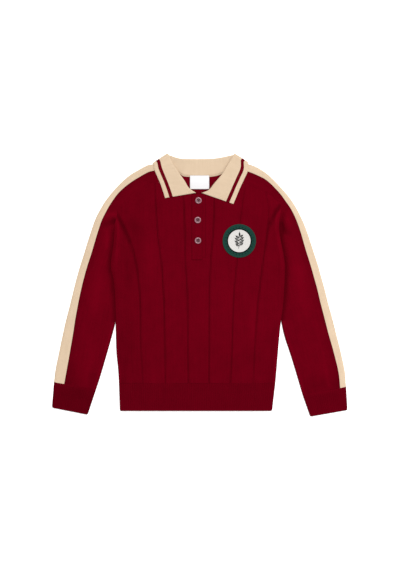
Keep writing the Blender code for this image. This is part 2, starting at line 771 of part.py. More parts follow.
def make_stripe(name, left):
    sections = sleeve_sections(left)
    grids = ([], [])
    for index, section in enumerate(sections):
        stripe = section[3]
        fullness = sleeve_fullness(index, len(sections))
        behind = stripe_behind(stripe, math.dist(section[0], section[2]))
        for shell, grid in enumerate(grids):
            row = []
            for away in (stripe - SEAM / 2, mix(stripe, FOLD_DEPTH, 0.5), FOLD_DEPTH):
                row.append(tube_point(section, fullness, away, 0, "front", shell))
            for step in range(1, 4):
                row.append(tube_point(section, fullness, 0, step * math.pi / 4, "outer fold", shell))
            for away in (FOLD_DEPTH, behind - SEAM / 2):
                row.append(tube_point(section, fullness, away, 0, "back", shell))
            grid.append(row)
    return wall(name, grids[0], grids[1], CREAM)


def make_cuff(name, left):
    last = sleeve_sections(left)[-1]
    end = CUFF_END_LEFT if left else CUFF_END_RIGHT
    outer_end, inner_end = (end[0], end[1]), (end[2], end[3])
    length = math.dist(last[0], outer_end)
    grids = ([], [])
    for along, pinch, lip in CUFF_ROWS:
        share = mix(SEAM / length, 1.0, along)
        outer = mix_point(last[0], outer_end, share)
        inner = mix_point(last[1], inner_end, share)
        width = math.dist(outer, inner)
        a, b = mix_point(outer, inner, pinch / width), mix_point(outer, inner, 1 - pinch / width)
        section = [a, b, b, 0.0, True]
        width = math.dist(a, b)
        for shell, grid in enumerate(grids):
            row = []
            for rib_share, rib in rib_profile(CUFF_RIBS):
                away = mix(FOLD_DEPTH, width - FOLD_DEPTH, rib_share)
                plan = mix_point(a, b, away / width)
                top = LAYER + (RIB_BASE + rib * RIB_RISE - lip) * (1 - shell)
                row.append((*plan, top))
            for side in ("inner fold", "back", "outer fold"):
                if side == "back":
                    for away in (width - FOLD_DEPTH, width / 2, FOLD_DEPTH):
                        row.append(tube_point(section, 0.0, away, 0, "back", shell))
                    continue
                turns = (1, 2, 3) if side == "inner fold" else (3, 2, 1)
                for step in turns:
                    row.append(tube_point(section, 0.0, 0, step * math.pi / 4, side, shell))
            grid.append(row)
    return wall(name, grids[0], grids[1], BURGUNDY, ring=True)


# Collar

def unit(dx, dy):
    size = math.hypot(dx, dy)
    return dx / size, dy / size


def away_from_neck(a, b):
    """Unit normal of the line a-b in plan, on the side away from the neck's middle."""
    nx, ny = unit(b[1] - a[1], a[0] - b[0])
    if nx * (a[0] - NECK_MIDDLE[0]) + ny * (a[1] - NECK_MIDDLE[1]) < 0:
        nx, ny = -nx, -ny
    return nx, ny


def collar_height(point, turn):
    """Height of the middle between the collar's front and back at a plan point."""
    front = PAIR + raised_above(point) - WALL / 2 - STAND_REACH
    if not outside_by(point, COLLAR_ABOVE):
        front = PAIR + COLLAR_RAISE - WALL / 2 - STAND_REACH
    back = COLLAR_RAISE + WALL / 2 + STAND_REACH
    return mix(front, back, (1 - math.cos(turn)) / 2)


def collar_point(plan, normal, reach, turn):
    x = plan[0] + normal[0] * reach * math.sin(turn)
    y = plan[1] + normal[1] * reach * math.sin(turn)
    return (x, y, collar_height(plan, turn) + reach * math.cos(turn))


def collar_section(row, turn):
    """Outer and inner side of one section, from the neck seam over the fold to the edge."""
    seam, fold, edge = (row[0], row[1]), (row[2], row[3]), (row[4], row[5])
    ux, uy = unit(fold[0] - seam[0], fold[1] - seam[1])
    seam = (seam[0] + ux * SEAM, seam[1] + uy * SEAM)
    stand_normal = away_from_neck(seam, fold)
    fall_normal = away_from_neck(fold, edge)
    middle_reach = (STAND_REACH + FALL_REACH) / 2
    bend = (FALL_REACH - STAND_REACH) / 2
    sides = []
    for sign in (-1, 1):
        line = []
        for share in (0.0, 0.5):
            plan = mix_point(seam, fold, share)
            line.append(collar_point(plan, stand_normal, STAND_REACH + sign * WALL / 2, turn))
        radius = bend - sign * WALL / 2
        for step in range(FOLD_TURNS + 1):
            angle = math.pi * step / FOLD_TURNS
            share = step / FOLD_TURNS
            normal = unit(*mix_point(stand_normal, fall_normal, share))
            reach = middle_reach - radius * math.cos(angle)
            x, y, z = collar_point(fold, normal, reach, turn)
            rise = radius * math.sin(angle)
            line.append((x + ux * rise, y + uy * rise, z))
        for share in COLLAR_ACROSS:
            plan = mix_point(fold, edge, share)
            line.append(collar_point(plan, fall_normal, FALL_REACH - sign * WALL / 2, turn))
        sides.append(line)
    return sides


def make_collar():
    turns = [math.pi * k / (CREASE_TURNS - 1) for k in range(CREASE_TURNS)]
    sections = [(row, 0.0) for row in COLLAR_RIGHT_FRONT[:-1]]
    sections += [(COLLAR_RIGHT_FRONT[-1], turn) for turn in turns]
    sections += [(row, math.pi) for row in COLLAR_BACK]
    sections += [(COLLAR_LEFT_FRONT[0], turn) for turn in turns[::-1]]
    sections += [(row, 0.0) for row in COLLAR_LEFT_FRONT[1:]]
    outer, inner = [], []
    for row, turn in sections:
        out, back = collar_section(row, turn)
        outer.append(out)
        inner.append(back)
    return wall("collar", outer, inner, CREAM)


# Placket, buttons, patch and label

def plate(name, rows_y, columns_x, under, thickness, colour, roughness=0.9):
    """A flat piece that follows the height of what it lies on."""
    low, high = [], []
    for y in rows_y:
        low.append([(x, y, under((x, y))) for x in columns_x])
        high.append([(x, y, under((x, y)) + thickness) for x in columns_x])
    return wall(name, high, low, colour, roughness)


def make_placket():
    levels = [SIDE_LEVELS[row][0] for row in range(SLIT_ROW, TOP_ROW)]
    rows = [mix(HEM_TOP, SLIT_TOP_RIGHT, level) for level in levels]
    middle = (SLIT_RIGHT + SLIT_LEFT) / 2
    columns = (SLIT_RIGHT + SEAM, middle, SLIT_LEFT - SEAM)
    under_rows = [rows[0] + SEAM] + rows[1:] + [UNDER_BAND_TOP]
    plate("placket_under", under_rows, columns, lambda p: front_top(p) - WALL, WALL, BURGUNDY)
    upper_rows = [BAND_BOTTOM] + rows + [BAND_TOP]
    columns = (BAND_RIGHT, middle, BAND_LEFT)
    plate("placket_upper", upper_rows, columns, lambda p: front_top(p) + GAP, WALL, BURGUNDY)


def turned(name, rings, centre, segments, colour, roughness, base):
    """A round piece: rings of radius and height, from its lower middle round to its upper middle."""
    data = bmesh.new()
    loops = []
    for radius, height in rings:
        loop = []
        for k in range(segments):
            angle = math.tau * k / segments
            x, y = centre[0] + radius * math.cos(angle), centre[1] + radius * math.sin(angle)
            loop.append(data.verts.new(Vector((x, y, base((x, y)) + height)) * MM))
        loops.append(loop)
    for low, high in zip(loops, loops[1:]):
        for k in range(segments):
            n = (k + 1) % segments
            data.faces.new([low[k], low[n], high[n], high[k]])
    data.faces.new(loops[0][::-1])
    data.faces.new(loops[-1])
    bmesh.ops.recalc_face_normals(data, faces=data.faces)
    return new_object(name, data, colour, roughness)


def make_buttons():
    for number, centre in enumerate(BUTTONS, start=1):
        reach = (-BUTTON_RADIUS, BUTTON_RADIUS)
        seat = max(front_top((centre[0] + dx, centre[1] + dy)) for dx in reach for dy in reach)
        seat += GAP + WALL + GAP
        rings = [
            (BUTTON_RADIUS - 1.0, 0.0),
            (BUTTON_RADIUS, 0.9),
            (BUTTON_RADIUS, 2.0),
            (BUTTON_RADIUS - 0.9, BUTTON_HEIGHT),
            (BUTTON_RADIUS - 2.2, BUTTON_HEIGHT - 0.3),
            (BUTTON_RADIUS - 3.0, BUTTON_HEIGHT - 1.1),
        ]
        turned(f"button_{number}", rings, centre, 24, BUTTON_MAUVE, 0.35, lambda p, z=seat: z)


def make_patch():
    field = PATCH_RADIUS - PATCH_RING
    rings = [
        (PATCH_RADIUS, 0.0),
        (PATCH_RADIUS, PATCH_THICKNESS),
        (PATCH_RADIUS - 1.2, PATCH_THICKNESS + PATCH_RING_RISE),
        (field + 0.8, PATCH_THICKNESS + PATCH_RING_RISE),
        (field, PATCH_THICKNESS),
    ]
    base = front_top(PATCH_AT) + GAP
    turned("patch", rings, PATCH_AT, 48, RING_GREEN, 0.85, lambda p: base)


def make_label():
    right, left, low, high = LABEL_BOX
    levels = [mix(HEM_TOP, NECK_BACK_MIDDLE[1], row[0]) for row in SIDE_LEVELS[-3:]]
    heights = [(y, raised_below((NECK_BACK_MIDDLE[0], y)) + WALL) for y in levels]
    rows = (low, levels[1], levels[2], high)
    columns = (right, (right + left) / 2, left)
    plate("neck_label", rows, columns, lambda p: read(heights, p[1]) + GAP, LABEL_THICKNESS, LABEL_WHITE)


def main():
    for thing in list(bpy.data.objects):
        bpy.data.objects.remove(thing)
    make_back()
    make_front()
    make_hem_back()
    make_hem_front()
    for side, left in (("right", False), ("left", True)):
        make_sleeve(f"sleeve_{side}", left)
        make_stripe(f"stripe_{side}", left)
        make_cuff(f"cuff_{side}", left)
    make_collar()
    make_placket()
    make_buttons()
    make_patch()
    make_label()


main()
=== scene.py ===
"""Looks of a child's knitted polo sweater that lies flat on a pale table, front up.

The frame is in metres; the tables and the cloth's heights are in millimetres. +X is the wearer's
left, +Y the collar, +Z up. "right" and "left" are the wearer's, and pairs hold right, then left.
"""

import functools
import math

import bmesh
import bpy
import numpy as np
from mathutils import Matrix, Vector

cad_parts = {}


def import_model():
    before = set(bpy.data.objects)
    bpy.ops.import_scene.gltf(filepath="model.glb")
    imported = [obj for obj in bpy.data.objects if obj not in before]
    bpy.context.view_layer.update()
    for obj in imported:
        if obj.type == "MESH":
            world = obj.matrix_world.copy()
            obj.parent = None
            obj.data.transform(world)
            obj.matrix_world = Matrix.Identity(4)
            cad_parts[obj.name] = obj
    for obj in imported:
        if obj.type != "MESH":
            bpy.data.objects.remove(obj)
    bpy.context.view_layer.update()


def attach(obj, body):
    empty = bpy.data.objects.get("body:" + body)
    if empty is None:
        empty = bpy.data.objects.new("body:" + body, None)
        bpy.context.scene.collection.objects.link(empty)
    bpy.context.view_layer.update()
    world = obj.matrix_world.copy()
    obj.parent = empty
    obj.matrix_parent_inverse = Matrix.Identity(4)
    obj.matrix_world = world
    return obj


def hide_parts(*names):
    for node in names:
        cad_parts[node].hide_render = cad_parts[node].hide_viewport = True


MM = 0.001

# ---- sizes of the cloth, mm
WALL = 2.4              # one layer of knit
GAP = 0.4               # air between layers
LAYER = WALL + GAP
PAIR = 2 * WALL + GAP   # front and back layer together
TUCK = 0.3              # how far a sewn edge runs under its neighbour
TUCK_DROP = 0.15
COLLAR_RAISE = LAYER    # how far the collar's layers lift what lies over them
COLLAR_REST = 4.0       # the front starts to sink this far from the collar's edge
COLLAR_RAMP = 30.0      # and lies flat this much further
BACK_REST = 8.0         # the same two for the back, which lies on the collar
BACK_RAMP = 26.0
BODY_LOFT = 1.4         # air that fills the front out
HEM_LOFT = 0.8
HEM_RAMP = 60.0         # from one to the other over this distance
LOFT_RAMP = 42.0        # and from a side edge inwards
SLEEVE_LOFT = 3.6
FLAT_ROWS = 3           # sections of a sleeve that lie flat at the neck
FULL_OVER = 4           # it gets full over this many more
LESS_FROM, LESS_OVER, LESS = 16, 3, 0.35    # and less so towards the cuff
EDGE_ROUND = 6.0        # plan depth of a rounded side edge
EDGE_DROP = 2.1
CREASE_DROP = 2.0       # the front rolls down beside the sleeve
CREASE_WIDTH = 6.5
CREASE_FROM, CREASE_OVER = 102.0, 38.0      # level where this crease begins to fade, and over what
ROLL_RISE, ROLL_AWAY, ROLL_WIDTH = 1.3, 8.0, 5.0    # the front's roll inside that crease
ROLL_START = 40.0       # it rises over this distance from the underarm
ROLL_FROM, ROLL_OVER = 150.0, 24.0
SEAM_DROP = 0.32        # a seam sinks the knit beside it
SEAM_WIDTH = 2.2
SEAM_LEAST = 0.25       # what is left of the shoulder's seam at the armhole
SEAM_FROM, SEAM_OVER = 168.0, 30.0
FOLD_DEPTH = 5.0        # plan depth of a sleeve's folds
FOLD_COLUMNS = 12
GROOVE_WIDTH = 1.9
GROOVE_DEPTH = 1.25
CELL = 2.3              # size of the shells' faces
EDGE_STEPS = (0, 0.7, 1.5, 2.5, 3.8, 5.4, 7.2)    # finer faces at an edge
TRIM_STEPS = (0, 0.5, 1.1, 2)
LABEL_STEPS = (0, 0.4, 0.9, 1.6)
PER = 10                # samples to a stretch of an outline

HEM_TOP = -205.8
HEM_BOTTOM = -265.4
HEM_CORNER = 6.0
HEM_CORNER_FLAT = 0.6
HEM_BOTTOM_RIGHT, HEM_BOTTOM_LEFT = -168.2, 151.2
RIB_PITCH = 4.6
RIB_RISE = 0.6
RIB_VALLEY = 0.34       # share of a rib on each side of its valley
RIB_COLUMNS = 8
WALE = 2.3              # a stitch's width and height
COURSE = 1.75

# ---- the cut, as it lies
SIDE_LEVELS = [
    # share, right_x, left_x
    (0.000, -170.1, 158.2),
    (0.080, -171.8, 160.8),
    (0.170, -175.2, 163.5),
    (0.260, -176.4, 166.4),
    (0.350, -177.2, 169.9),
    (0.440, -178.1, 174.7),
    (0.530, -179.8, 177),
    (0.600, -182.5, 178.3),
    (0.665, -187.7, 178.5),
    (0.730, -186.3, 175.1),
    (0.790, -182.9, 170.5),
    (0.850, -180.8, 167),
    (0.910, -178.9, 166.3),
    (0.960, -174.5, 168.8),
    (1.000, -173.9, 170.1),
]
UNDERARM_ROW = 4
SHOULDER_RIGHT = [(-173.9, 157.5), (-157.5, 172.2), (-136.5, 189.8), (-109.8, 210.4), (-90.3, 215)]
SHOULDER_LEFT = [(170.1, 167), (155.4, 181.7), (136.5, 195.7), (115.5, 203.3), (96.6, 212.1)]
NECK_FRONT_RIGHT = [(-58.8, 225.5), (-44.5, 209.6), (-33.2, 199.1), (-21.8, 194.7)]
NECK_FRONT_LEFT = [(60.9, 223.4), (45.2, 206.2), (28.6, 195.3), (15.1, 191.9)]
SLIT_RIGHT, SLIT_LEFT = -15.5, 11.5
SLIT_TOP_RIGHT, SLIT_TOP_LEFT = 192.4, 191.0
SLIT_BOTTOM = 59.0
SLIT_CELLS = 12
BACK_SADDLE_RIGHT = [(-87.2, 224.7), (-57.8, 241.5)]
BACK_SADDLE_LEFT = [(93.5, 222.5), (61.5, 240.5)]
NECK_BACK_RIGHT = [(-42.8, 233.5), (-32.6, 227.6)]
NECK_BACK_LEFT = [(45.4, 232.5), (29.4, 227.6)]
NECK_BACK_MIDDLE = (-2.1, 225.9)
GROOVE_LINES = [
    # y, g1, g2, g3, g4, g5, g6
    (-205.8, -119.7, -72.5, -24.2, 18.9, 64, 111.3),
    (-126, -124.1, -73.5, -25.6, 19.5, 67.2, 115.5),
    (-31.5, -125.4, -76, -26.3, 19.7, 70.1, 122.4),
    (48.3, -134.4, -81.3, -30.5, 22.3, 77.5, 131.9),
    (98.7, -148.5, -88, -31.5, 26.9, 81.9, 139.7),
    (153.3, -176, -91.8, -33.2, 29.4, 86.7, 143.9),
    (203.7, -200, -94.5, -35.4, 30.7, 94.5, 136.5),
]
GROOVE_STRENGTH = [
    # y, g1, g2, g3, g4, g5, g6
    (-205.8, 0.35, 0.6, 0.75, 0.9, 0.75, 0.35),
    (-126, 0.7, 0.85, 0.85, 0.9, 0.8, 0.7),
    (-31.5, 1, 1, 0.9, 0.9, 0.85, 1),
    (48.3, 0.8, 0.9, 0.9, 0.85, 0.8, 0.9),
    (98.7, 0.4, 0.9, 1, 1, 0.9, 0.7),
    (153.3, 0, 0.9, 1, 0.9, 0.8, 0.5),
    (203.7, 0, 0.5, 0.6, 0.5, 0.4, 0.3),
]
SLEEVE_RIGHT = [
    # outer_x, outer_y, stripe
    (-79.8, 257.5, 12),
    (-97.9, 252.8, 13),
    (-112.4, 250.1, 15),
    (-148.1, 229.7, 14.4),
    (-174.8, 205.2, 11.9),
    (-195.2, 180.8, 12.8),
    (-206.8, 163, 13.3),
    (-219, 139.9, 14),
    (-228.4, 113.4, 14.4),
    (-236.6, 88.2, 15.2),
    (-243.9, 64, 15.4),
    (-252, 38.9, 15.4),
    (-259.4, 12.6, 15.6),
    (-265.8, -12.6, 15.9),
    (-273.5, -44.1, 17.1),
    (-281.1, -73.5, 19.3),
    (-287.3, -100.8, 21.3),
    (-296.3, -143.8, 22.9),
    (-303.3, -178.5, 23.5),
    (-306.4, -203.7, 22),
]
SLEEVE_LEFT = [
    # outer_x, outer_y, stripe
    (83.6, 257.9, 13.5),
    (100.4, 253.6, 15.5),
    (120.8, 246.1, 15.5),
    (143.8, 230.6, 12.5),
    (171.2, 202.9, 10.2),
    (190.1, 180.2, 11.4),
    (202.9, 160, 11.6),
    (214.4, 137.3, 12.6),
    (224.5, 112.4, 14),
    (232.8, 87.6, 15.2),
    (240.1, 65.1, 15.9),
    (247.7, 42, 16),
    (254.2, 17.9, 15.7),
    (261.5, -7.8, 15.8),
    (268.9, -37.8, 16),
    (278.1, -71.4, 16.5),
    (285.6, -101.4, 16.3),
    (295.2, -139.7, 15.1),
    (303.7, -180.6, 13.6),
    (306.6, -213.4, 12.9),
]
INNER_FOLD_RIGHT = [(-185.2, -109.2), (-198, -154.3), (-208.8, -191.1), (-218.2, -219.7)]
INNER_FOLD_LEFT = [(177, -107.1), (189.4, -144.9), (202.3, -186.9), (215.2, -230.6)]
STRIPE_WIDTH = 35.0
BEHIND_MOST = 0.55      # the stripe takes at most this share of the sleeve's back
CUFF_END_RIGHT = ((-310.8, -257.4), (-235.6, -272.2))
CUFF_END_LEFT = ((309.6, -262.4), (231.2, -276.2))
CUFF_PINCH = 2.2        # how far the cuff's end draws in
CUFF_FADE = 30.0        # the sleeve's fullness ends this far down the cuff
CUFF_RISE = 0.15
COLLAR_RIGHT_FRONT = [
    # seam_x, seam_y, fold_x, fold_y, edge_x, edge_y
    (-21.8, 194.7, -9.8, 192.9, -73.1, 182.1),
    (-33.2, 199.1, -25.2, 202.4, -77.5, 196.4),
    (-44.5, 209.6, -33.6, 215.9, -83.6, 213.8),
    (-58.8, 225.5, -46.8, 235.2, -90.3, 228.9),
    (-68.6, 240.6, -58, 252.8, -95.8, 242.3),
    (-77.8, 257.1, -66.8, 270.9, -97, 251),
]
COLLAR_BACK = [
    # seam_x, seam_y, fold_x, fold_y, edge_x, edge_y
    (-57.8, 241.5, -54.6, 266.3, -75.6, 243),
    (-42.8, 233.5, -41, 262.9, -50.4, 233),
    (-32.6, 227.6, -27.3, 262.1, -29.4, 227.6),
    (-2.1, 225.9, -2.1, 261.9, -2.1, 224.7),
    (29.4, 227.6, 25.2, 262.5, 27.3, 227.2),
    (45.4, 232.5, 44.1, 265, 52.5, 233.4),
    (61.5, 240.5, 57.8, 267.8, 77.7, 243.8),
]
COLLAR_LEFT_FRONT = [
    # seam_x, seam_y, fold_x, fold_y, edge_x, edge_y
    (81.6, 257.1, 71.2, 270.7, 99.1, 252.5),
    (72.2, 240.7, 61.5, 253.5, 99.8, 238.4),
    (60.9, 223.4, 48.1, 231.2, 92.4, 221.6),
    (45.2, 206.2, 31.9, 211.9, 84.6, 204.8),
    (28.6, 195.3, 20.8, 198.5, 77.3, 187.3),
    (15.1, 191.9, 4.6, 192.4, 69.9, 169.7),
]
STAND_REACH = WALL / 2 + GAP / 2
FALL_REACH = STAND_REACH + LAYER
STAND_SHARES = (0.0, 0.02, 0.05, 0.1, *np.linspace(0.16, 0.94, 9))
FALL_SHARES = (*np.linspace(0.04, 0.9, 22), 0.94, 0.97, 0.985, 1.0)
NECK_MIDDLE = (0, 215)
TIPPING_FROM_EDGE = 9.0     # the collar's knitted stripe
TIPPING_WIDTH = 7.4

# ---- folds: troughs and ridges
# Start, middle and end of each, its half width, its rise (below 0 a trough), and what is left of the
# rise at its two ends.
FRONT_CREASES = [
    # x0, y0, x1, y1, x2, y2, width, rise, start, end
    (-180.5, 157, -163, 125, -148.5, 91, 4, -2.7, 0.5, 0.45),
    (-148.5, 91, -136, 50, -129, 10, 3.4, -1.1, 0.9, 0),
    (-176, 141, -172.5, 118, -170.5, 92, 4.5, 2.6, 0.6, 0.1),
    (-172, 96, -174, 66, -176, 36, 5, 0.9, 0.5, 0.3),
    (-142, 140, -134, 108, -130, 78, 15, -0.9, 0.3, 0.2),
    (-156, 62, -152, 28, -152, -20, 9, -0.7, 0.2, 0.1),
    (-112, 120, -106, 60, -104, 0, 12, 0.6, 0.1, 0.1),
    (171, 171, 157, 150, 147, 129, 4.2, -2.7, 0.4, 0.35),
    (147, 129, 138.5, 96, 134.5, 55, 3.4, -1.3, 0.9, 0.1),
    (172, 156, 162, 141, 157, 112, 4.5, 2.4, 0.7, 0.1),
    (164, 112, 170, 74, 172, 36, 5, 0.9, 0.5, 0.3),
    (120, 150, 118, 118, 120, 80, 14, -0.6, 0.2, 0.2),
    (112, -20, 108, -70, 110, -140, 8, 0.7, 0.1, 0.1),
    (-165, -60, -150, -100, -148, -170, 10, -0.5, 0.3, 0),
    (-100, -150, -98, -180, -101, -204, 7, 0.5, 0, 0.6),
    (92, -150, 90, -180, 93, -204, 7, 0.5, 0, 0.6),
    (-50, -140, -46, -170, -48, -204, 8, 0.4, 0, 0.6),
    (44, 40, 52, -20, 50, -90, 12, 0.4, 0.1, 0),
]
SLEEVE_CREASES = [
    # x0, y0, x1, y1, x2, y2, width, rise, start, end
    (-207, 118, -191, 128.5, -179.5, 133, 6.5, -2.9, 0, 1),
    (-210, 134, -194, 145, -177, 147, 5, 1.7, 0.1, 0.7),
    (-196, 114, -195, 92, -198, 66, 5, 1.2, 0.4, 0.1),
    (-205, 60, -215, 0, -226, -70, 12, 0.9, 0.2, 0.2),
    (-195, -60, -203, -76, -226, -84, 8, -0.35, 0.8, 0),
    (-226, -130, -232, -165, -240, -205, 9, 0.8, 0.1, 0.3),
    (-262, -150, -268, -180, -272, -208, 7, -0.6, 0.1, 0.5),
    (172, 146, 170, 130, 171, 112, 6, -2.4, 0.4, 0.7),
    (170, 126, 178, 113, 192, 103, 5.5, -2.1, 0.7, 0),
    (186, 152, 183, 136, 192, 118, 6, 1.4, 0.4, 0.1),
    (196, 80, 209, 10, 222, -70, 13, 1.1, 0.2, 0.2),
    (186, -60, 196, -74, 216, -80, 8, -0.35, 0.8, 0),
    (255, -140, 263, -180, 271, -214, 3.8, 1, 0.2, 0.8),
]
BACK_CREASES = [
    # x0, y0, x1, y1, x2, y2, width, rise, start, end
    (-160, 150, -120, 100, -90, 30, 7, 0.7, 0.6, 0),
    (150, 160, 120, 110, 95, 20, 7, 0.7, 0.6, 0),
    (-20, 180, -10, 90, 5, -30, 9, 0.6, 0.2, 0),
    (-60, -60, -20, -90, 60, -80, 8, 0.6, 0, 0),
]

# ---- trims
BAND_RIGHT, BAND_LEFT = -17.3, 4.7
BAND_TOP, BAND_BOTTOM = 190.2, 52.5
UNDER_BAND_TOP = 190.5
BAND_THICKNESS = 1.3
BUTTONS = [(-3.2, 176.9), (-4.7, 136), (-4.2, 93)]
BUTTON_RADIUS = 6.8
BUTTON_HEIGHT = 3.0
HOLE_OUT, HOLE_RADIUS = 1.25, 0.62
PATCH_AT = (82.4, 92.4)
PATCH_RADIUS = 35.2
PATCH_INSIDE = 23.6     # radius of the cream field
TICKS = 28
LABEL_BOX = (-21, 19.3, 201, 229.5)

# ---- colours, linear
BURGUNDY = (0.146, 0.0001, 0.0066)
# dark end of the burgundy knits' tone: darker yarn, and painted shade
BURGUNDY_DEEP = (0.064, 0, 0.0028)
CREAM = (0.675, 0.525, 0.38)
# dark end of the cream knits' tone: darker yarn, and painted shade
CREAM_DEEP = (0.49, 0.365, 0.245)
GREEN = (0.014, 0.058, 0.044)
BLACK = (0.004, 0.004, 0.005)
PATCH_CREAM = (0.58, 0.56, 0.54)
LABEL_WHITE = (0.70, 0.69, 0.70)
BUTTON_MAUVE = (0.25, 0.10, 0.125)
# painted shade in a button's sunk middle
BUTTON_DISH_SHADE = (0.030, 0.003, 0.008)
TWILL, SATIN = 7000.0, 14000.0    # radians of a weave to a metre
THREADS = {
    # name: slot, colour, roughness
    "green_thread": ("patch_cloth", GREEN, 0.7),
    "black_thread": ("patch_cloth", BLACK, 0.7),
    "white_thread": ("label_tape", LABEL_WHITE, 0.7),
    "cream_thread": ("cream_knit", CREAM, 0.85),
    "burgundy_thread": ("burgundy_knit", BURGUNDY, 0.7),
}

# ---- table, light and camera
TABLE_HALF = 3.0
TABLE_GLOW = 0.35
ROOM_LIGHT = 0.55
WINDOW_LIGHT = 2.6
WINDOW_AT = (0.08, 0.36, 0.93)
SIDE_LIGHT = 4.6        # watts of a wide lamp beside the table
SIDE_LIGHT_AT = (0.9, 0.1, 1)
SIDE_LIGHT_SIZE = 0.9
PHOTO_SCALE = 2.1       # millimetres to a pixel of the photograph
PHOTO_HEIGHT = 570
CAMERA_HEIGHT = 3.0
SENSOR = 36.0


# ---- small sums on arrays
def smooth(t):
    t = np.clip(t, 0.0, 1.0)
    return t * t * (3 - 2 * t)


def mix(a, b, t):
    return a + (b - a) * t


def bell(away, width):
    return np.exp(-((away / width) ** 2))


def rolled(t):
    """Fall of a rounded edge, as a share of its depth: 0 where the round starts, 1 at the edge."""
    return 1 - np.sqrt(1 - np.clip(t, 0, 1) ** 2)


def unit(v):
    return v / np.maximum(np.linalg.norm(v, axis=-1, keepdims=True), 1e-9)


def through(points, per=PER):
    """A smooth curve through the points, per samples to each stretch between two."""
    p = np.asarray(points, float)
    p = np.vstack([2 * p[0] - p[1], p, 2 * p[-1] - p[-2]])
    t = (np.arange(per) / per)[:, None]
    parts = [(2 * b + (c - a) * t + (2 * a - 5 * b + 4 * c - d) * t**2 + (3 * b - a - 3 * c + d) * t**3) / 2
             for a, b, c, d in zip(p, p[1:], p[2:], p[3:])]
    return np.vstack(parts + [p[-2:-1]])


def running(points):
    """Running length along a line of points."""
    return np.concatenate([[0.0], np.cumsum(np.linalg.norm(np.diff(points, axis=0), axis=1))])


def to_path(x, y, path):
    """Distance of every point to a path, and how far along it the nearest place is, 0 to 1."""
    best, along = np.full(x.shape, 1e9), np.zeros(x.shape)
    count = len(path) - 1
    for k in range(count):
        a, d = path[k], path[k + 1] - path[k]
        t = np.clip(((x - a[0]) * d[0] + (y - a[1]) * d[1]) / max(d @ d, 1e-9), 0, 1)
        away = np.hypot(x - a[0] - t * d[0], y - a[1] - t * d[1])
        near = away < best
        best = np.where(near, away, best)
        along = np.where(near, (k + t) / count, along)
    return best, along


def nearest(x, y, paths):
    return np.minimum(*[to_path(x, y, path)[0] for path in paths])


def outside_by(x, y, outline):
    """Distance to a closed outline, 0 within it."""
    odd = np.zeros(x.shape, bool)
    for a, b in zip(outline, np.roll(outline, -1, axis=0)):
        if a[1] != b[1]:
            crossed = (a[1] > y) != (b[1] > y)
            odd ^= crossed & (x < a[0] + (y - a[1]) * (b[0] - a[0]) / (b[1] - a[1]))
    return np.where(odd, 0.0, to_path(x, y, np.vstack([outline, outline[:1]]))[0])


def creased(x, y, creases):
    """Height that the folds in a table add."""
    total = np.zeros(x.shape)
    for x0, y0, x1, y1, x2, y2, width, rise, start, end in creases:
        away, along = to_path(x, y, through([(x0, y0), (x1, y1), (x2, y2)], 5))
        strength = mix(start, end, along) + (1 - max(start, end)) * np.sin(np.pi * along)
        total += rise * strength * bell(away, width)
    return total


def ripple(x, y):
    """The slight unevenness of cloth that was smoothed by hand."""
    broad = np.sin(x / 27 + 1.3 * np.sin(y / 47)) * np.sin(y / 45 + 0.8)
    small = np.sin(x / 12 + y / 29 + 2.0) * np.sin(y / 21 - x / 41)
    return 0.75 * broad + 0.14 * small


def crease_painted_shade(x, y, creases):
    """Painted shade of a crease, by the depth of its trough, and a faint painted highlight on a ridge."""
    return np.clip(creased(x, y, creases) / -3.3, -0.35, 0.9)


def edge_painted_light(away):
    """Painted light beside a rounded edge: painted shade at the very edge, and a thin painted highlight
    inside it.
    """
    return 0.5 * bell(away, 0.9) - 0.42 * bell(away - 3.0, 1.7)


# ---- outlines in plan, right then left
SIDES = (0, 1)
SLEEVES = (SLEEVE_RIGHT, SLEEVE_LEFT)
INNER_FOLDS = (INNER_FOLD_RIGHT, INNER_FOLD_LEFT)
CUFF_ENDS = (CUFF_END_RIGHT, CUFF_END_LEFT)
HEM_BOTTOMS = (HEM_BOTTOM_RIGHT, HEM_BOTTOM_LEFT)
SLIT = (SLIT_RIGHT, SLIT_LEFT)
SHOULDER = (SHOULDER_RIGHT + NECK_FRONT_RIGHT[:1], SHOULDER_LEFT + NECK_FRONT_LEFT[:1])
NECK = (NECK_FRONT_RIGHT + [(SLIT_RIGHT, SLIT_TOP_RIGHT)], NECK_FRONT_LEFT + [(SLIT_LEFT, SLIT_TOP_LEFT)])
BACK_SHOULDER = (SHOULDER_RIGHT[:-1] + BACK_SADDLE_RIGHT, SHOULDER_LEFT[:-1] + BACK_SADDLE_LEFT)
BACK_NECK = (BACK_SADDLE_RIGHT[-1:] + NECK_BACK_RIGHT + [NECK_BACK_MIDDLE]
             + NECK_BACK_LEFT[::-1] + BACK_SADDLE_LEFT[-1:])


def side_line(left):
    corner_y = SHOULDER[left][0][1]
    return np.array([(row[1 + left], mix(HEM_TOP, corner_y, row[0])) for row in SIDE_LEVELS])


def top_edge(shoulders, neck):
    return np.vstack([shoulders[0], neck[1:], shoulders[1][::-1][1:]])


SIDE = [through(side_line(left)) for left in SIDES]
UNDERARM_Y = SIDE[0][UNDERARM_ROW * PER][1]
SHOULDER_LINE = [through(line) for line in SHOULDER]
FRONT_TOP = top_edge(SHOULDER_LINE, np.vstack([through(NECK[0]), through(NECK[1])[::-1]]))
BACK_TOP = top_edge([through(line) for line in BACK_SHOULDER], through(BACK_NECK))
BODY_EDGE = [np.vstack([SIDE[left], SHOULDER_LINE[left][1:-8]]) for left in SIDES]
COLLAR_FOLD = [row[2:4] for row in COLLAR_BACK]
COLLAR_ABOVE = np.array([row[4:6] for row in COLLAR_RIGHT_FRONT] + COLLAR_FOLD
                        + [row[4:6] for row in COLLAR_LEFT_FRONT])
COLLAR_BELOW = np.array([COLLAR_RIGHT_FRONT[-1][4:6]] + COLLAR_FOLD
                        + [COLLAR_LEFT_FRONT[0][4:6]] + [row[4:6] for row in COLLAR_BACK[::-1]])


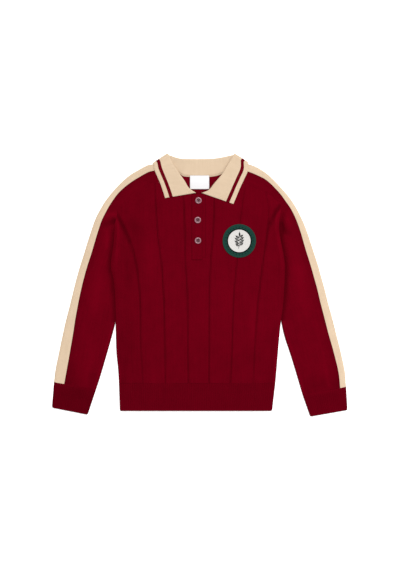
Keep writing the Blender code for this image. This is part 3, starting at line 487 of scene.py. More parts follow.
# ---- heights of the layers
def raised(x, y, outline, rest, ramp):
    return COLLAR_RAISE * (1 - smooth((outside_by(x, y, outline) - rest) / ramp))


def raised_above(x, y):
    """How far the collar's layers lift what lies over them."""
    return raised(x, y, COLLAR_ABOVE, COLLAR_REST, COLLAR_RAMP)


def raised_below(x, y):
    """How far the turned down collar lifts the back."""
    return raised(x, y, COLLAR_BELOW, BACK_REST, BACK_RAMP)


def front_height(x, y):
    """Height of the front's outer side, before its grooves and its edges."""
    away = nearest(x, y, BODY_EDGE)
    loft = mix(HEM_LOFT, BODY_LOFT, smooth((y - HEM_TOP) / HEM_RAMP)) * smooth(away / LOFT_RAMP)
    roll = ROLL_RISE * smooth((y - UNDERARM_Y) / ROLL_START) * bell(away - ROLL_AWAY, ROLL_WIDTH)
    roll = roll * (1 - smooth((y - ROLL_FROM) / ROLL_OVER))
    folds = (creased(x, y, FRONT_CREASES) + ripple(x, y)) * smooth(away / 7.0)
    collar = raised_above(x, y)
    return PAIR + collar + (1 - collar / COLLAR_RAISE) * (loft + roll + folds)


def grooves(x, y):
    """Share of the rib grooves' depth, and a faint rise beside each."""
    lines, strength = through(GROOVE_LINES, 8), np.array(GROOVE_STRENGTH)
    depth = np.zeros(x.shape)
    for k in range(1, lines.shape[1]):
        away = np.abs(x - np.interp(y, lines[:, 0], lines[:, k]))
        form = bell(away, GROOVE_WIDTH) - 0.28 * bell(away - 3.6, 1.8)
        depth += form * np.interp(y, strength[:, 0], strength[:, k])
    return depth


def armhole_share(y):
    """How much of the armhole's crease there is: none at the shoulder, all at the underarm."""
    return 1 - smooth((y - CREASE_FROM) / CREASE_OVER)


def seam_drop(y):
    """How far the shoulder seam sinks: it fades down to the armhole."""
    return SEAM_DROP * mix(SEAM_LEAST, 1.0, smooth((y - SEAM_FROM) / SEAM_OVER))


def edge_roll(x, y):
    """How far a panel's outer side falls at its sides, its seams and its neck edge."""
    at_sleeve = mix(seam_drop(y), CREASE_DROP, armhole_share(y))
    drop = mix(EDGE_DROP, at_sleeve, smooth((y - UNDERARM_Y) / 12))
    roll = drop * rolled(1 - nearest(x, y, SIDE) / EDGE_ROUND)
    return np.maximum(roll, seam_drop(y) * bell(nearest(x, y, SHOULDER_LINE), SEAM_WIDTH))


# ---- meshes
def new_piece(name, mesh):
    piece = bpy.data.objects.new(name, mesh)
    bpy.context.collection.objects.link(piece)
    return piece


def mark(piece, name, values):
    """Writes a number to each point of a piece."""
    layer = piece.data.attributes.new(name, "FLOAT", "POINT")
    layer.data.foreach_set("value", np.ascontiguousarray(values, dtype=np.float32))


def points_of(piece):
    """The points of a piece, in mm."""
    values = np.empty(len(piece.data.vertices) * 3, np.float32)
    piece.data.vertices.foreach_get("co", values)
    return values.reshape(-1, 3) / MM


def at_height(plan, z):
    return np.dstack([plan[..., 0], plan[..., 1], z])


def shell(name, outer, inner, uv, missing=None, ring=False, tone=None):
    """A closed thin wall between two grids of points, in mm; the cells in missing stay open.

    Its attribute "outside" is 1 on the outer side, and "sunk" is the painted light of that side: above 0
    for painted shade in a groove or trough, below 0 for a painted highlight on an edge.
    """
    rows, columns = outer.shape[:2]
    size = rows * columns
    keep = np.ones((rows - 1, columns if ring else columns - 1), bool)
    if missing is not None:
        keep &= ~missing
    i, j = np.nonzero(keep)
    turns = ((0, 0), (0, 1), (1, 1), (1, 0))
    index = np.arange(size).reshape(rows, columns)
    cell = np.stack([index[i + a, (j + b) % columns] for a, b in turns], 1)
    spot = np.stack([uv[i + a, j + b] for a, b in turns], 1)
    border = np.pad(keep, 1)
    if ring:
        border[:, 0], border[:, -1] = border[:, -2], border[:, 1]
    faces, maps = [cell, cell[:, ::-1] + size], [spot, spot[:, ::-1]]
    beside = [border[:-2, 1:-1], border[1:-1, 2:], border[2:, 1:-1], border[1:-1, :-2]]
    for side, neighbour in enumerate(beside):
        free, turn = ~neighbour[i, j], (side + 1) % 4
        a, b, s, e = cell[free, side], cell[free, turn], spot[free, side], spot[free, turn]
        faces.append(np.stack([b, a, a + size, b + size], 1))
        maps.append(np.stack([e, s, s, e], 1))
    faces, maps = np.concatenate(faces), np.concatenate(maps) * MM
    points = np.concatenate([outer.reshape(-1, 3), inner.reshape(-1, 3)]) * MM
    used, faces = np.unique(faces, return_inverse=True)
    points, faces = points[used], faces.reshape(-1, 4)
    a, b, c, d = (points[faces[:, k]] for k in range(4))
    if (a * (np.cross(b, c) + np.cross(c, d))).sum() < 0:
        faces, maps = faces[:, ::-1], maps[:, ::-1]
    mesh = bpy.data.meshes.new(name)
    mesh.vertices.add(len(points))
    mesh.vertices.foreach_set("co", points.astype(np.float32).ravel())
    mesh.loops.add(faces.size)
    mesh.loops.foreach_set("vertex_index", np.ascontiguousarray(faces, dtype=np.int32).ravel())
    mesh.polygons.add(len(faces))
    mesh.polygons.foreach_set("loop_start", np.arange(0, faces.size, 4, dtype=np.int32))
    mesh.update(calc_edges=True)
    layer = mesh.uv_layers.new(name="knit")
    layer.data.foreach_set("uv", np.ascontiguousarray(maps, dtype=np.float32).ravel())
    mesh.shade_smooth()
    mesh.set_sharp_from_angle(angle=math.radians(60))
    piece = new_piece(name, mesh)
    outside = used < size
    mark(piece, "outside", outside)
    if tone is not None:
        mark(piece, "sunk", np.where(outside, np.clip(np.resize(tone, 2 * size)[used], -0.5, 1), 0))
    return piece


def skin(name, rings, sharp=None):
    """A closed surface over rings of points, in mm; a ring of one point is a pole."""
    data = bmesh.new()
    rings = [[data.verts.new(Vector(spot) * MM) for spot in ring] for ring in rings]
    segments = len(rings[1])
    for low, high in zip(rings, rings[1:]):
        for k in range(segments):
            n = (k + 1) % segments
            corners = [low[k % len(low)], low[n % len(low)], high[n % len(high)], high[k % len(high)]]
            data.faces.new(list(dict.fromkeys(corners)))
    bmesh.ops.recalc_face_normals(data, faces=data.faces)
    mesh = bpy.data.meshes.new(name)
    data.to_mesh(mesh)
    data.free()
    mesh.shade_smooth()
    if sharp:
        mesh.set_sharp_from_angle(angle=math.radians(sharp))
    return new_piece(name, mesh)


def applied(piece, modifier):
    """Keeps a modifier's result as the piece's plain mesh."""
    graph = bpy.context.evaluated_depsgraph_get()
    mesh = bpy.data.meshes.new_from_object(piece.evaluated_get(graph))
    piece.modifiers.remove(modifier)
    piece.data = mesh


def finish_piece(piece, material, node):
    """Gives a piece its material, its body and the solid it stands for."""
    piece.data.materials.clear()
    piece.data.materials.append(material)
    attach(piece, "root")
    if node:
        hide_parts(node)


def finish_sheet(piece, material, node, slot, width, length, *rests_on):
    """Gives a sheet its material, its body and the solid it stands for. The flat area is half of the
    shell's own surface, edges included, and at most the cut's rectangle.
    """
    finish_piece(piece, material, node)


# ---- node trees
class Value:
    """An output in a node tree; a sum with it adds a Math node."""

    def __init__(self, tree, socket):
        self.tree, self.socket = tree, socket

    def math(self, operation, *others):
        return self.tree.math(operation, self, *others)

    def __rsub__(self, other):
        return self.tree.math("SUBTRACT", other, self)

    def __abs__(self):
        return self.math("ABSOLUTE")

    def wave(self):
        """The value's sine, from 0 to 1."""
        return self.math("SINE").math("MULTIPLY_ADD", 0.5, 0.5)


for sign, operation in (("add", "ADD"), ("sub", "SUBTRACT"), ("mul", "MULTIPLY"), ("truediv", "DIVIDE"),
                        ("pow", "POWER")):
    setattr(Value, f"__{sign}__", functools.partialmethod(Value.math, operation))


class Tree:
    """Short calls to add and join the nodes of a tree."""

    def __init__(self, tree):
        self.tree = tree

    def node(self, kind, given=None, **settings):
        node = self.tree.nodes.new(kind)
        for key, value in settings.items():
            setattr(node, key, value)
        for key, value in (given or {}).items():
            self.feed(value, node.inputs[key])
        return node

    def outs(self, kind, given, *keys, **settings):
        """Outputs of a new node."""
        node = self.node(kind, given, **settings)
        return [Value(self, node.outputs[key]) for key in keys]

    def out(self, kind, given=None, key=0, **settings):
        return self.outs(kind, given, key, **settings)[0]

    def feed(self, value, target):
        if isinstance(value, Value):
            self.tree.links.new(value.socket, target)
        else:
            target.default_value = value

    def math(self, operation, *values):
        return self.out("ShaderNodeMath", dict(enumerate(values)), operation=operation)

    def blend(self, factor, low, high):
        """A colour between two others."""
        low, high = [(*c, 1) if isinstance(c, tuple) else c for c in (low, high)]
        return self.out("ShaderNodeMix", {"Factor": factor, 6: low, 7: high}, 2, data_type="RGBA")

    def noise(self, vector, scale, detail, distortion=0.0):
        return self.out("ShaderNodeTexNoise",
                        {"Vector": vector, "Scale": scale, "Detail": detail, "Distortion": distortion})

    def object_spot(self):
        return self.out("ShaderNodeTexCoord", None, "Object")

    def parts(self, vector):
        """X and Y of a vector."""
        return self.outs("ShaderNodeSeparateXYZ", {0: vector}, 0, 1)

    def marked_point(self, name):
        """An attribute in a material."""
        return self.out("ShaderNodeAttribute", None, "Fac", attribute_name=name)

    def triple(self, **values):
        return self.out("ShaderNodeCombineXYZ", values)

    def marked(self, name):
        """A geometry's attribute."""
        return self.out("GeometryNodeInputNamedAttribute", {"Name": name}, "Attribute", data_type="FLOAT")

    def close(self, geometry, material):
        """The end of a Geometry Nodes tree."""
        real = self.out("GeometryNodeRealizeInstances", {0: geometry})
        paint = self.out("GeometryNodeSetMaterial", {"Geometry": real, "Material": material})
        self.node("NodeGroupOutput", {0: paint})


def new_tree(name, kind, inputs, outputs):
    """A tree with named inputs and outputs, and what comes in; each is a number or a socket's kind."""
    group = bpy.data.node_groups.new(name, kind)
    for way, sockets in (("INPUT", inputs), ("OUTPUT", outputs)):
        for key, value in sockets.items():
            number = not isinstance(value, str)
            socket = group.interface.new_socket(
                key, in_out=way, socket_type="NodeSocketFloat" if number else "NodeSocket" + value)
            if number:
                socket.default_value = value
    tree = Tree(group)
    return tree, {item.name: Value(tree, item) for item in tree.node("NodeGroupInput").outputs}


def geometry_tree(name, **numbers):
    inputs = {"Geometry": "Geometry", **numbers, "Material": "Material"}
    return new_tree(name, "GeometryNodeTree", inputs, {"Geometry": "Geometry"})


def run_nodes(piece, tree, **values):
    """Runs a Geometry Nodes tree on a piece and keeps the result as its plain mesh."""
    modifier = piece.modifiers.new(tree.name, "NODES")
    modifier.node_group = tree
    for item in tree.interface.items_tree:
        if item.item_type == "SOCKET" and item.in_out == "INPUT" and item.name in values:
            modifier[item.identifier] = values[item.name]
    applied(piece, modifier)


def rib_relief():
    """Sinks the valleys between ribs, by the attribute "rib" that counts them."""
    tree, given = geometry_tree("rib_relief", Depth=RIB_RISE * MM, Valley=RIB_VALLEY)
    centre = abs(tree.marked("rib").math("FRACT") - 0.5)
    depth = ((centre - (0.5 - given["Valley"])) / given["Valley"]).math("MAXIMUM", 0.0)
    depth = depth * depth * tree.marked("outside") * (given["Depth"] * -1.0)
    normal = tree.out("GeometryNodeInputNormal")
    offset = tree.out("ShaderNodeVectorMath", {0: normal, "Scale": depth}, operation="SCALE")
    moved = tree.out("GeometryNodeSetPosition", {"Geometry": given["Geometry"], "Offset": offset})
    tree.close(moved, given["Material"])
    return tree.tree


def stitch_row():
    """Threads laid one after another along a path, each turned from the path's way."""
    tree, given = geometry_tree("stitch_row", Spacing=0.002, Length=0.0015, Thickness=0.0006, Turn=0.0)
    curve = tree.out("GeometryNodeMeshToCurve", {0: given["Geometry"]})
    points, tangent = tree.outs("GeometryNodeCurveToPoints", {"Curve": curve, "Length": given["Spacing"]},
                                "Points", "Tangent", mode="LENGTH")
    thread = tree.out("GeometryNodeMeshUVSphere", {"Segments": 6, "Rings": 5, "Radius": 0.5}, "Mesh")
    thread = tree.out("GeometryNodeSetShadeSmooth", {"Geometry": thread})
    align = tree.out("FunctionNodeAlignEulerToVector", {"Vector": tangent}, axis="X")
    turn = tree.triple(Z=given["Turn"])
    turned = tree.out("FunctionNodeRotateEuler", {"Rotation": align, "Rotate By": turn}, space="LOCAL")
    size = tree.triple(X=given["Length"], Y=given["Thickness"], Z=given["Thickness"])
    placed = tree.out("GeometryNodeInstanceOnPoints",
                      {"Points": points, "Instance": thread, "Rotation": turned, "Scale": size})
    tree.close(placed, given["Material"])
    return tree.tree


# ---- body panels
def spread(length, cell=CELL, fine=EDGE_STEPS):
    """Shares from 0 to 1 over a length, finer at both ends."""
    middle = np.linspace(fine[-1], length - fine[-1], max(3, int((length - 2 * fine[-1]) / cell)))
    edge = np.array(fine[:-1])
    return np.concatenate([edge, middle, length - edge[::-1]]) / length


def one_sided(length, cell=CELL):
    """Shares from 0 to 1 over a length, finer at the start."""
    both = spread(length, cell)
    count = len(both) // 2
    even = np.linspace(both[count], 1.0, max(3, int(length * (1 - both[count]) / cell)))
    return np.concatenate([both[:count], even])


def panel_plan(top_line, rows, columns, middle):
    """Plan points of a body panel: rows from the hem up, columns from the wearer's right to the left.

    columns holds the shares from each side to the middle, and middle the x of two columns that run
    straight up, between which the panel may be slit.
    """
    halves = []
    for left in SIDES:
        edge_x, edge_y = SIDE[left].T
        edge = np.interp(rows, (edge_y - HEM_TOP) / (edge_y[-1] - HEM_TOP), edge_x)
        halves.append(mix(edge[:, None], middle[left], columns[left][None, :]))
    between = np.repeat(np.linspace(*middle, SLIT_CELLS + 1)[None, 1:-1], len(rows), 0)
    x = np.concatenate([halves[0], between, halves[1][:, ::-1]], 1)
    return np.dstack([x, mix(HEM_TOP, np.interp(x[-1], *top_line.T)[None, :], rows[:, None])])


def make_front(material):
    columns = [one_sided(abs(SLIT[left] - SIDE[left][0, 0])) for left in SIDES]
    length = SLIT_TOP_RIGHT - HEM_TOP
    split = (SLIT_BOTTOM - HEM_TOP) / length
    low = np.linspace(0, split, int(length * split / CELL))
    high = mix(split, 1.0, 1 - one_sided(length * (1 - split))[::-1])
    rows = np.concatenate([low, high[1:]])
    plan = panel_plan(FRONT_TOP, rows, columns, SLIT)
    x, y = plan[..., 0], plan[..., 1]
    height, sunk = front_height(x, y), grooves(x, y)
    inner = np.maximum(height - WALL, raised_below(x, y) + WALL + 0.25)
    missing = np.zeros((len(rows) - 1, x.shape[1] - 1), bool)
    missing[len(low) - 1:, len(columns[0]) - 1:][:, :SLIT_CELLS] = True
    away = nearest(x, y, BODY_EDGE)
    free = 1 - smooth((y - UNDERARM_Y + 20) / 30)
    # painted light of the front: painted shade in its grooves and creases, painted shade and a painted
    # highlight along its free edges, and painted shade that darkens it towards the hem and the wearer's
    # right
    tone = 0.75 * np.clip(sunk, 0, 1) + crease_painted_shade(x, y, FRONT_CREASES)
    tone += free * (0.14 * bell(away - 11, 6) + edge_painted_light(away))
    tone += 0.1 * smooth((-90 - y) / 60) + 0.08 * smooth((-90 - x) / 50)
    height = height - GROOVE_DEPTH * sunk - edge_roll(x, y)
    piece = shell("front_knit", at_height(plan, height), at_height(plan, inner), plan, missing, tone=tone)
    finish_sheet(piece, material, "front_panel", "burgundy_knit", 366, 432, "back_knit")


def make_back(material):
    middle = (-15.0, 11.0)
    columns = [one_sided(abs(middle[left] - SIDE[left][0, 0]), 3.2) for left in SIDES]
    rows = np.concatenate([np.linspace(0, 0.93, 120), np.linspace(0.93, 1, 16)[1:]])
    plan = panel_plan(BACK_TOP, rows, columns, middle)
    x, y = plan[..., 0], plan[..., 1]
    low, sunk = raised_below(x, y), grooves(x, y)
    relief = 0.7 * np.maximum(sunk, 0) + np.maximum(creased(x, y, BACK_CREASES), 0)
    under = low + edge_roll(x, y) * 0.9 + relief * smooth(nearest(x, y, BODY_EDGE) / 12)
    # the grooves' depth is also the back's painted light: painted shade in each groove, a faint painted
    # highlight beside it
    piece = shell("back_knit", at_height(plan, under), at_height(plan, low + WALL), plan, tone=sunk)
    finish_sheet(piece, material, "back_panel", "burgundy_knit", 366, 447, "table")


# ---- sleeves
def sleeve_lines(left):
    """Dense sections of a sleeve: outer fold, inner ends of front and back, stripe, tube or open."""
    side = side_line(left)[UNDERARM_ROW:]
    crease = SIDE[left][UNDERARM_ROW * PER:][::-1]
    below = through([tuple(side[0])] + INNER_FOLDS[left])
    front_end, back_end = (np.vstack([through(top)[::-1], crease[1:], below[1:]])
                           for top in (SHOULDER[left], BACK_SHOULDER[left]))
    outer = through([row[:2] for row in SLEEVES[left]])
    stripe = through([(row[2],) for row in SLEEVES[left]])[:, 0]
    underarm = (len(SHOULDER[left]) + len(side) - 2) * PER
    return outer, front_end, back_end, stripe, np.arange(len(outer)) >= underarm


def with_armhole_foot(lines):
    """Adds an open section just above the underarm, so that the armhole ends in a point."""
    *lines, tube = lines
    k = int(np.argmax(tube))
    return (*[np.insert(a, k, mix(a[k], a[k - 1], 0.12), axis=0) for a in lines], np.insert(tube, k, False))


def fullness(count):
    """How far a sleeve's front stands off, from its neck end on."""
    k = np.arange(count) / PER
    return smooth((k - FLAT_ROWS) / FULL_OVER) * (1 - LESS * smooth((k - LESS_FROM) / LESS_OVER))


def widths(outer, end):
    return np.linalg.norm(end - outer, axis=1)


class Tube:
    """A flattened tube of cloth: points on its front, its back and round its two folds."""

    def __init__(self, outer, front_end, back_end, full, creases=(), rise=0.0):
        self.outer, self.ends, self.full = outer, (front_end, back_end), full[:, None]
        self.creases, self.rise = creases, rise

    def plan(self, away, behind):
        way = self.ends[behind] - self.outer
        share = away / np.linalg.norm(way, axis=1)[:, None]
        return self.outer[:, None] + way[:, None] * share[..., None], share

    def heights(self, plan, share):
        x, y = plan[..., 0], plan[..., 1]
        bump = np.sin(np.pi * np.clip(share, 0, 1)) ** 0.8
        soft = smooth(share / 0.12) * smooth((1 - share) / 0.1)
        folds = creased(x, y, self.creases) + 1.3 * ripple(x + 40, y) if len(self.creases) else 0.0
        top = PAIR + self.rise + raised_above(x, y) + self.full * (SLEEVE_LOFT * bump + folds * soft)
        return top, raised_below(x, y)

    def layer(self, away, shell_side, behind):
        plan, share = self.plan(away, behind)
        wall = WALL * shell_side * (1 if behind else -1)
        return at_height(plan, self.heights(plan, share)[behind] + wall)

    def fold(self, angles, inner, shell_side):
        """Round a fold, from the front (0) to the back (180 degrees)."""
        wall = WALL * shell_side
        reach = np.repeat(((FOLD_DEPTH - wall) * (1 - np.sin(angles)) + wall)[None, :], len(self.outer), 0)
        away = widths(self.outer, self.ends[0])[:, None] - reach if inner else reach
        plan, share = self.plan(away, 0)
        plan = mix(plan, self.plan(away, 1)[0], (1 - np.cos(angles))[None, :, None] / 2)
        top, bottom = self.heights(plan, share)
        return at_height(plan, (top + bottom) / 2 + ((top - bottom) / 2 - wall) * np.cos(angles)[None, :])


def across(start, stop, shares):
    return start[:, None] + (stop - start)[:, None] * shares[None, :]


def half_turn(count):
    """Angles between the two ends of a half turn."""
    return np.linspace(0, np.pi, count)[1:-1]


def sleeve_map(points, outer):
    """Map of a sleeve: the distance across, and the distance along from the neck."""
    step = np.cumsum(np.linalg.norm(np.diff(points, axis=1), axis=2), 1)
    step = np.concatenate([np.zeros((len(points), 1)), step], 1)
    return np.dstack([step, np.repeat(-running(outer)[:, None], points.shape[1], 1)])


def stripe_behind(stripe, back_width):
    """How far a stripe reaches on the back of its sleeve."""
    return np.minimum(STRIPE_WIDTH - stripe, back_width * BEHIND_MOST)


def make_sleeve(side, left, material):
    outer, front_end, back_end, stripe, tube = with_armhole_foot(sleeve_lines(left))
    underarm = int(np.argmax(tube))
    full = np.insert(fullness(len(outer) - 1), underarm - 1, 1.0)
    form = Tube(outer, front_end, back_end, full, SLEEVE_CREASES)
    front_width, back_width = widths(outer, front_end), widths(outer, back_end)
    start, back_start = stripe - TUCK, stripe_behind(stripe, back_width) - TUCK
    into = np.where(tube, FOLD_DEPTH, -TUCK)
    shares, angles = spread(75, 2.4), half_turn(FOLD_COLUMNS)
    away = across(start, front_width - into, shares)
    from_stripe = away - start[:, None]
    to_seam = np.where(tube[:, None], np.inf, front_width[:, None] - away)
    seam_y = front_end[:, 1:]
    crease = armhole_share(seam_y)
    at_seam = mix(seam_drop(seam_y), CREASE_DROP, crease)
    at_seam = at_seam * bell(to_seam, mix(SEAM_WIDTH, CREASE_WIDTH, crease))
    dip = np.maximum(SEAM_DROP * bell(from_stripe, SEAM_WIDTH), at_seam)
    dip[:, 0] += TUCK_DROP
    dip[:, -1] += np.where(tube, 0, TUCK_DROP)
    sides = []
    for shell_side in (0, 1):
        front = form.layer(away, shell_side, 0)
        floor = raised_below(front[..., 0], front[..., 1]) + WALL + 0.1
        front[..., 2] = np.maximum(front[..., 2] - dip, floor + (0 if shell_side else 0.4))
        back = form.layer(across(back_width - into, back_start, np.linspace(0, 1, 16)), shell_side, 1)
        sides.append(np.concatenate([front, form.fold(angles, True, shell_side), back], 1))
    missing = np.zeros((len(outer) - 1, sides[0].shape[1] - 1), bool)
    missing[:underarm, len(shares) - 1:len(shares) + len(angles)] = True
    x, y = np.moveaxis(sides[0][:, :len(shares), :2], 2, 0)
    # painted light of the sleeve: painted shade in its creases, beside the armhole's crease, along the
    # stripe and in a thin line at its seam, more painted shade towards the cuff, and painted shade and a
    # painted highlight at the inner fold
    tone = np.zeros(sides[0].shape[:2])
    tone[:, :len(shares)] = (
        crease_painted_shade(x, y, SLEEVE_CREASES) + 0.7 * crease * bell(to_seam, 7.0)
        + 0.22 * bell(from_stripe, 11.0) + 0.8 * bell(from_stripe, 1.3)
        + 0.28 * smooth((y.mean(1)[:, None] + 160) / -60)
        + np.where(tube[:, None], edge_painted_light(front_width[:, None] - away - 2.0) * 0.7, 0.0))
    piece = shell(f"sleeve_{side}_knit", *sides, sleeve_map(sides[0], outer), missing, tone=tone)
    finish_sheet(piece, material, f"sleeve_{side}", "burgundy_knit", 190, 480, "table")


def make_stripe(side, left, material):
    outer, front_end, back_end, stripe, _ = sleeve_lines(left)
    form = Tube(outer, front_end, back_end, fullness(len(outer)), SLEEVE_CREASES)
    behind = stripe_behind(stripe, widths(outer, back_end))
    depth = np.full(len(outer), FOLD_DEPTH)
    away = across(stripe, depth, np.array([0, 0.04, 0.1, 0.2, 0.4, 0.7, 1.0]))
    sides = []
    for shell_side in (0, 1):
        front = form.layer(away, shell_side, 0)
        back = form.layer(across(depth, behind, np.linspace(0, 1, 9)), shell_side, 1)
        if shell_side == 0:
            front[..., 2] -= SEAM_DROP * bell(stripe[:, None] - away, SEAM_WIDTH)
        sides.append(np.concatenate([front, form.fold(half_turn(14), False, shell_side), back], 1))
    piece = shell(f"stripe_{side}_knit", *sides, sleeve_map(sides[0], outer))
    finish_sheet(piece, material, f"stripe_{side}", "cream_knit", STRIPE_WIDTH + 6, 500, "table")


# ---- ribbed bands
def make_hem(name, node, back, material, tree):
    top_right, top_left = SIDE_LEVELS[0][1:]
    count = round((top_left - top_right) / RIB_PITCH)
    drop = np.concatenate([[-TUCK, 0.4, 1.1, 2.2], np.linspace(4.5, 53, 12), [55, 56.4, 57.6, 58.4]])
    y = (HEM_TOP - drop)[:, None]
    down = (y - HEM_TOP) / (HEM_BOTTOM - HEM_TOP)
    bend = HEM_CORNER * HEM_CORNER_FLAT * rolled(1 - (y - HEM_BOTTOM) / HEM_CORNER)
    right = mix(top_right, HEM_BOTTOM_RIGHT, down) + bend
    left = mix(top_left, HEM_BOTTOM_LEFT, down) - bend
    x = mix(right, left, np.linspace(0, 1, count * RIB_COLUMNS + 1)[None, :])
    y = np.repeat(y, x.shape[1], 1)
    plan = np.dstack([x, y])
    near = np.minimum(x - right, left - x)
    lip_top = np.clip(1 - (HEM_TOP - y) / 1.8, 0, 1.1)
    fall = EDGE_DROP * rolled(1 - near / EDGE_ROUND) + 1.5 * rolled(1 - (y - HEM_BOTTOM) / 4.0)
    fall += 0.7 * lip_top**2
    if back:
        outer, inside = np.minimum(fall, WALL - 0.4), np.full(x.shape, WALL)
    else:
        inside = LAYER + HEM_LOFT * smooth(near / LOFT_RAMP)
        outer = inside + WALL + RIB_RISE - 0.3 - fall * 1.1
    # painted shade at the band's side and lower edges, and a painted highlight just inside them
    tone = edge_painted_light(np.minimum(near, y - HEM_BOTTOM) + 0.5)
    piece = shell(name, at_height(plan, outer), at_height(plan, inside), plan, tone=tone)
    x, y = points_of(piece)[:, :2].T
    ends = zip(HEM_BOTTOMS, (top_right, top_left))
    start, stop = (np.interp(y, [HEM_BOTTOM, HEM_TOP], end) for end in ends)
    mark(piece, "rib", (x - start) / (stop - start) * count)
    run_nodes(piece, tree, Depth=RIB_RISE * MM * (0.8 if back else 1.0), Material=material)
    finish_sheet(piece, material, node, "burgundy_knit", 326, 60, "table" if back else "hem_back_rib")


def make_cuff(side, left, material, tree):
    lines = sleeve_lines(left)
    outer_end, inner_end = np.array(CUFF_ENDS[left])
    length = np.linalg.norm(outer_end - lines[0][-1])
    drop = np.concatenate([[-TUCK, 0.5, 1.4], np.linspace(4, length - 6, 14),
                           length - np.array([4.2, 2.8, 1.6, 0.7, 0.0])])
    share = (drop / length)[:, None]
    outer, inner = mix(lines[0][-1], outer_end, share), mix(lines[1][-1], inner_end, share)
    closing = rolled(1 - (length - drop) / 5.0)[:, None]
    way = unit(inner - outer) * CUFF_PINCH * closing
    outer, inner = outer + way, inner - way
    full = fullness(len(lines[0]))[-1] * (1 - smooth(drop / CUFF_FADE))
    form = Tube(outer, inner, inner, full, rise=CUFF_RISE)
    width = widths(outer, inner)
    ribs = round(float(width[4]) / RIB_PITCH)
    shares, angles = np.linspace(0, 1, ribs * RIB_COLUMNS + 1), half_turn(FOLD_COLUMNS)
    flat = across(np.full(len(outer), FOLD_DEPTH), width - FOLD_DEPTH, shares)
    lip = 1.3 * closing + (0.35 * np.clip(1 - drop / 1.8, 0, 1.2) ** 2)[:, None]
    sides = []
    for shell_side in (0, 1):
        front, back = form.layer(flat, shell_side, 0), form.layer(flat[:, ::-1], shell_side, 1)
        if shell_side == 0:
            front[..., 2] -= lip
            back[..., 2] += lip * 0.8
        turn_in, turn_out = form.fold(angles, True, shell_side), form.fold(angles[::-1], False, shell_side)
        sides.append(np.concatenate([front, turn_in, back, turn_out], 1))
    closed = np.concatenate([sides[0], sides[0][:, :1]], 1)
    # painted light of the cuff: painted shade and a painted highlight at its end, a painted highlight along
    # its top, and painted shade over all of the right cuff
    tone = edge_painted_light(length - drop + 0.8) - 0.3 * bell(drop - 1.5, 2.4) + (0.0 if left else 0.3)
    tone = np.repeat(tone[:, None], sides[0].shape[1], 1)
    piece = shell(f"cuff_{side}_rib", *sides, sleeve_map(closed, outer), ring=True, tone=tone)
    run = running(closed[4])
    mark(piece, "rib", np.tile(run[:-1] / run[-1] * (ribs * 2 + 4), 2 * len(outer)))
    run_nodes(piece, tree, Depth=RIB_RISE * MM, Material=material)
    finish_sheet(piece, material, f"cuff_{side}", "burgundy_knit", 170, 60, "table")


# ---- collar
def away_from_neck(a, b):
    """Unit normals of the lines a-b in plan, on the side away from the neck's middle."""
    d = b - a
    n = unit(np.stack([d[:, 1], -d[:, 0]], 1))
    n[np.einsum("ij,ij->i", n, a - np.array(NECK_MIDDLE)) < 0] *= -1
    return n


def collar_runs():
    """Sections of the collar from its right front end to its left one, with their turn."""
    right, left = through(COLLAR_RIGHT_FRONT, 9), through(COLLAR_LEFT_FRONT, 9)
    behind = through([COLLAR_RIGHT_FRONT[-1]] + COLLAR_BACK + [COLLAR_LEFT_FRONT[0]], 8)[1:-1]
    turns = np.linspace(0, np.pi, 13)
    rows = [right[:-1], np.repeat(right[-1:], 13, 0), behind, np.repeat(left[:1], 13, 0), left[1:]]
    flat, over = np.zeros(len(right) - 1), np.full(len(behind), np.pi)
    return np.vstack(rows), np.concatenate([flat, turns, over, turns[::-1], np.zeros(len(left) - 1)])


def collar_side(rows, turn, sign):
    """One side of the collar's wall; sign is -1 for its face and 1 for its back."""
    seam, fold, edge = rows[:, 0:2], rows[:, 2:4], rows[:, 4:6]
    up = unit(fold - seam)
    seam = seam + up * TUCK
    stand_normal, fall_normal = away_from_neck(seam, fold), away_from_neck(fold, edge)
    sine, cosine = np.sin(turn), np.cos(turn)
    height_behind = COLLAR_RAISE + WALL / 2 + STAND_REACH
    height_before = PAIR + COLLAR_RAISE - WALL / 2 - STAND_REACH

    def place(plan, normal, reach):
        x, y = plan.T
        before = PAIR + raised_above(x, y) - WALL / 2 - STAND_REACH
        before = np.where(outside_by(x, y, COLLAR_ABOVE) < 1, height_before, before)
        middle = mix(before, height_behind, (1 - cosine) / 2)
        return np.column_stack([plan + normal * (reach * sine)[:, None], middle + reach * cosine])

    half_wall = sign * WALL / 2
    columns = [place(mix(seam, fold, k), stand_normal, STAND_REACH + half_wall) for k in STAND_SHARES]
    radius = (FALL_REACH - STAND_REACH) / 2 - half_wall
    for step in np.linspace(0, 1, 9):
        reach = (STAND_REACH + FALL_REACH) / 2 - radius * math.cos(math.pi * step)
        point = place(fold, unit(mix(stand_normal, fall_normal, step)), reach)
        point[:, :2] += up * radius * math.sin(math.pi * step)
        columns.append(point)
    columns += [place(mix(fold, edge, k), fall_normal, FALL_REACH - half_wall) for k in FALL_SHARES]
    return np.stack(columns, 1)


def make_collar(material):
    rows, turn = collar_runs()
    outer, inner = collar_side(rows, turn, -1), collar_side(rows, turn, 1)
    lengths = np.linalg.norm(np.diff(outer, axis=1), axis=2)
    from_edge = np.concatenate([np.cumsum(lengths[:, ::-1], 1)[:, ::-1], np.zeros((len(rows), 1))], 1)
    run = running(outer[:, -8])
    from_end = np.minimum(run, run[-1] - run)[:, None]
    soft = np.maximum(bell(from_edge, 1.6), bell(from_end, 1.5) * (from_edge < 70))
    outer = outer + (inner - outer) * 0.35 * soft[..., None]
    along = np.repeat(running(outer[:, -6])[:, None], outer.shape[1], 1)
    piece = shell("collar_knit", outer, inner, np.dstack([along, from_edge]))
    finish_sheet(piece, material, "collar", "cream_knit", 470, 100, "front_knit", "back_knit")


